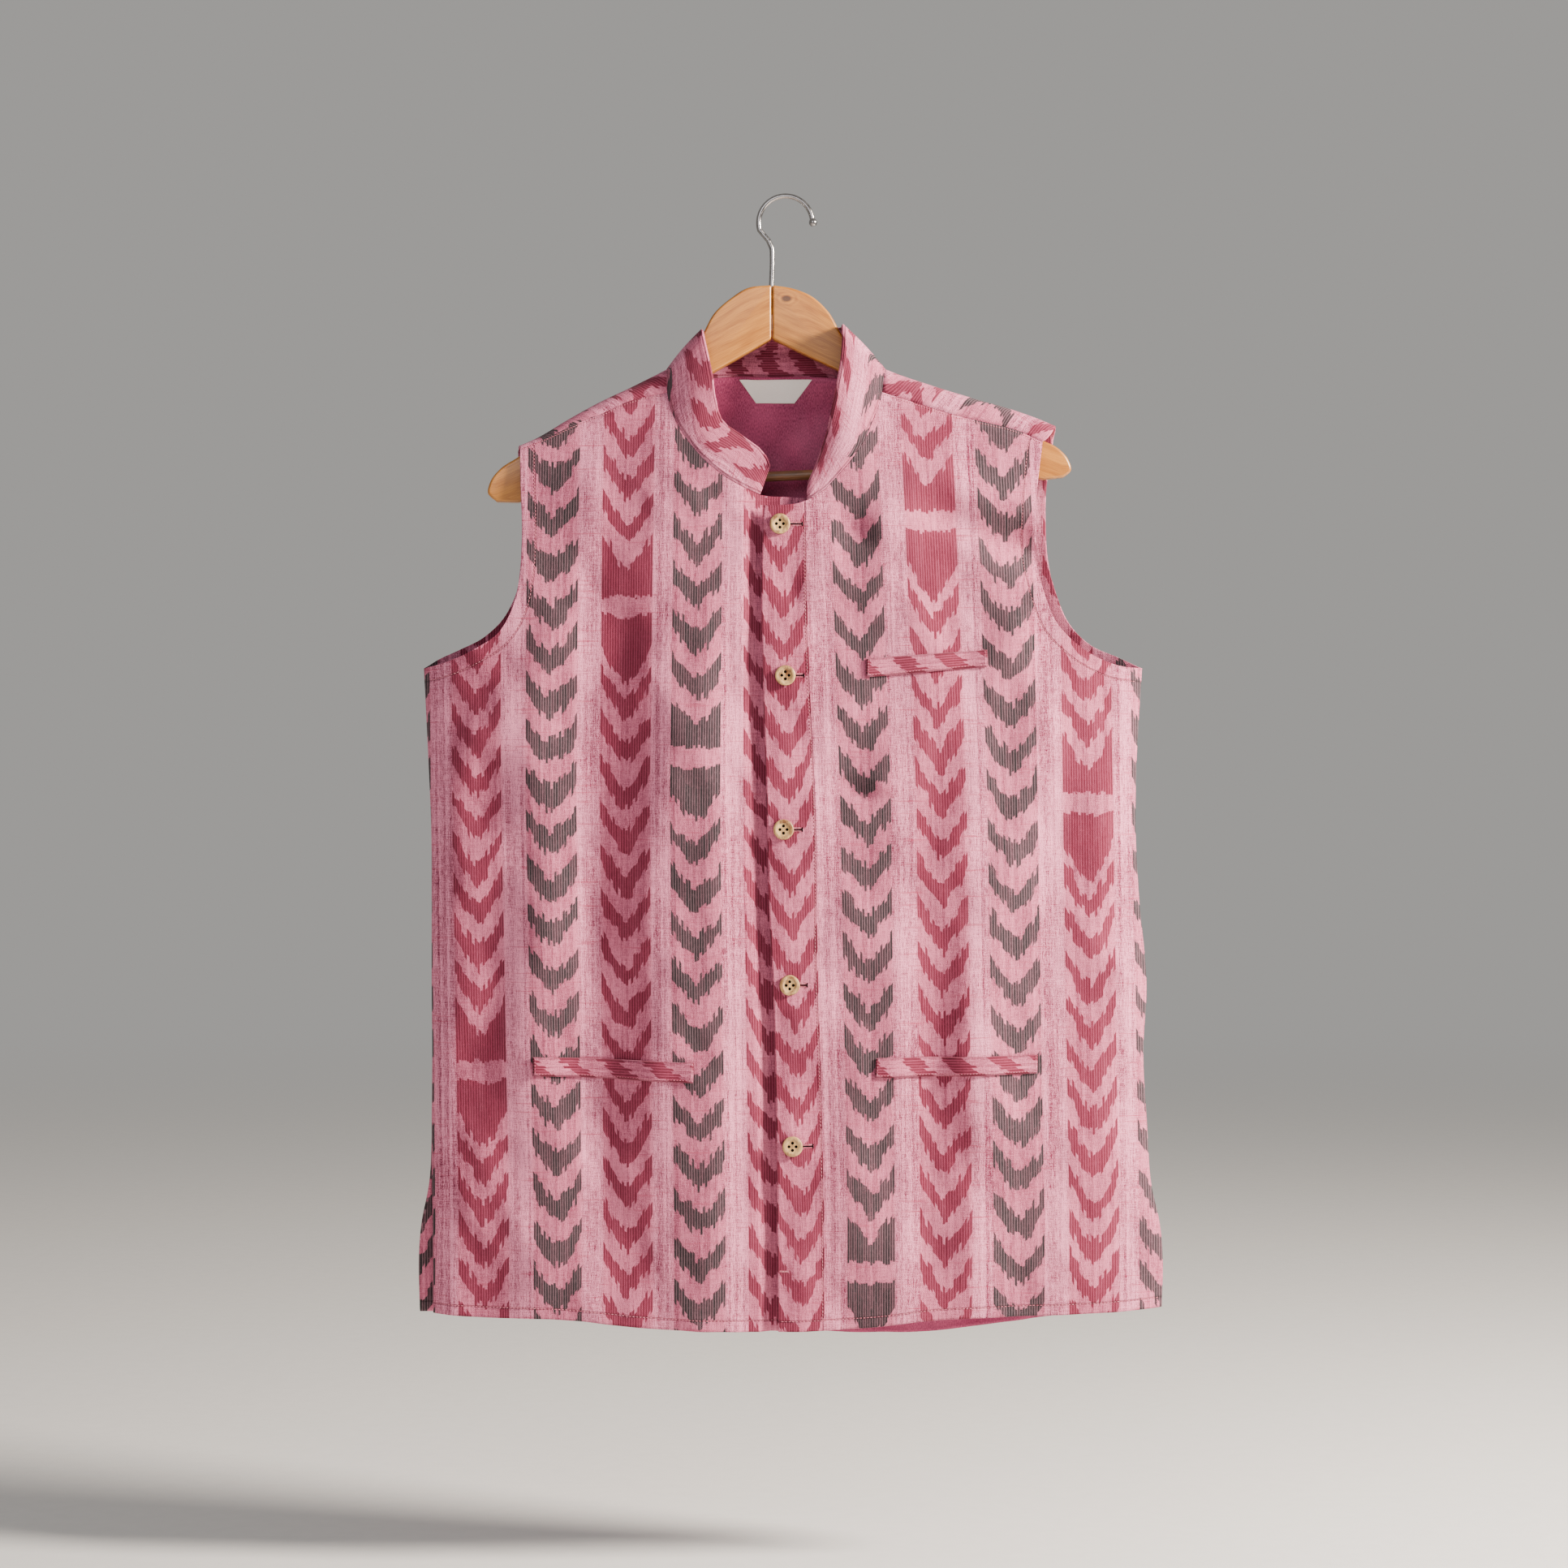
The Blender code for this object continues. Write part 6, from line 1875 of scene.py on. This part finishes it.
def chromed_wire():
    """Drawn steel wire, chrome plated: bright, and a little scuffed in patches of 2 mm."""
    rows = [
        ("place", "TexCoord"),
        ("scuff", "TexNoise 3D", {"Vector": "place.Object", "Scale": 420.0, "Detail": 3.0}),
        ("gloss", "MapRange LINEAR", "scuff", 0.35, 0.7, 0.12, 0.3),
        ("tint", "MixRGB MIX", "scuff", "#868280", "#b4b0ae"),
    ]
    return material("chromed_steel_wire", rows, Base_Color="tint", Metallic=1.0, Roughness="gloss")


def near_black_shade():
    """Near-black matt thread for a buttonhole's slit and a button's shank; its tone is painted shade, the
    shadow in the slit and in the button's holes.
    """
    rows = [
        ("place", "NewGeometry"),
        ("fleck", "TexNoise 3D", {"Vector": "place.Position", "Scale": 700.0}),
        ("deep", "MixRGB MIX", "fleck", "#050304", "#0e0809"),
    ]
    return material("painted_shade_thread_wrap", rows, Base_Color="deep", Roughness=0.9, Specular_IOR_Level=0.05)


def pale_floor():
    """Matt studio paper with a faint 17 mm mottle, which fades into the world's tone far off."""
    rows = [
        ("place", "NewGeometry"),
        ("reach", "VectorMath LENGTH", "place.Position"),
        ("fade", "MapRange SMOOTHSTEP", {"Value": "reach.Value", "From Min": 2.2, "From Max": 6.5}),
        ("grain", "TexNoise 3D", {"Vector": "place.Position", "Scale": 60.0, "Detail": 2.0}),
        ("paper", "MixRGB MIX", "grain", "#dedbd7", "#e6e3df"),
        ("glow", "Emission", WORLD_TONE, WORLD_STRENGTH),
    ]
    made = material("pale_paper_floor", rows, Base_Color="paper", Roughness=0.9)
    tree = made.node_tree
    lay(tree, [("blend", "MixShader", "fade", "Principled BSDF.BSDF", "glow")])
    output = tree.nodes["Material Output"]
    tree.links.new(tree.nodes["blend"].outputs[0], output.inputs["Surface"])
    return made


def build_floor():
    """A round floor, wide enough that its edge is never seen."""
    edit = bmesh.new()
    bmesh.ops.create_circle(edit, cap_ends=True, segments=96, radius=FLOOR_RADIUS)
    floor = finished("floor", edit)
    floor.location = (0, 0, FLOOR_Z)
    floor.data.materials.append(pale_floor())


def soft_light(name, place_at, size, power, tint):
    """A round soft lamp that looks at the jacket's middle."""
    lamp = bpy.data.lights.new(name, "AREA")
    lamp.shape, lamp.size = "DISK", size
    lamp.energy, lamp.color = power, colour(tint)[:3]
    thing = put(name, lamp)
    thing.location = place_at
    way = Vector(JACKET_MIDDLE) - Vector(place_at)
    thing.rotation_euler = way.to_track_quat("-Z", "Y").to_euler()


def build_studio():
    """Even pale surroundings, a soft key from the wearer's left, a weak fill and the camera."""
    build_floor()
    world = bpy.data.worlds.new("studio")
    bpy.context.scene.world = world
    world.use_nodes = True
    background = world.node_tree.nodes["Background"]
    background.inputs["Color"].default_value = colour(WORLD_TONE)
    background.inputs["Strength"].default_value = WORLD_STRENGTH
    soft_light("key", *KEY)
    soft_light("fill", *FILL)
    view = bpy.data.cameras.new("camera")
    view.sensor_width, view.lens = SENSOR, LENS
    camera = put("camera", view)
    camera.location = CAMERA_AT
    camera.rotation_euler = (math.pi / 2, 0, 0)
    bpy.context.scene.camera = camera


def build_jacket():
    """Panels, collar, welts, label and buttons, then every row of stitches."""
    cloth, lining, thread = handwoven_ikat(), plum_lining(), sewing_thread()
    dark = near_black_shade()
    edges = {side: build_front(side, cloth, lining) for side in ("right", "left")}
    back_outer, back_inner = build_back(cloth, lining)
    base_outer = np.concatenate([edges["right"][0][:-1], back_outer, edges["left"][0][-2::-1]])
    base_inner = np.concatenate([edges["right"][1][:-1], back_inner, edges["left"][1][-2::-1]])
    build_collar(base_outer, base_inner, cloth)
    build_welts(cloth)
    build_label(label_satin())
    shell_material = turned_shell()
    for number, (x, z) in enumerate(BUTTONS, 1):
        build_button(number, x, z, shell_material, dark)
    build_buttonholes(thread, dark)
    stitch_fronts(thread)
    stitch_back(thread)
    stitch_welts(thread)


def build_hanger():
    """The arms, the bar between them and the hook."""
    honey = varnished_wood("varnished_beech", "#bd7d30", "#925618", 0.36)
    dark = varnished_wood("stained_beech_bar", "#a26c42", "#5e3a22", 0.45)
    for side in ("right", "left"):
        build_arm(side, honey)
    build_bar(dark)
    build_hook(chromed_wire())


build_jacket()
build_hanger()
build_studio()
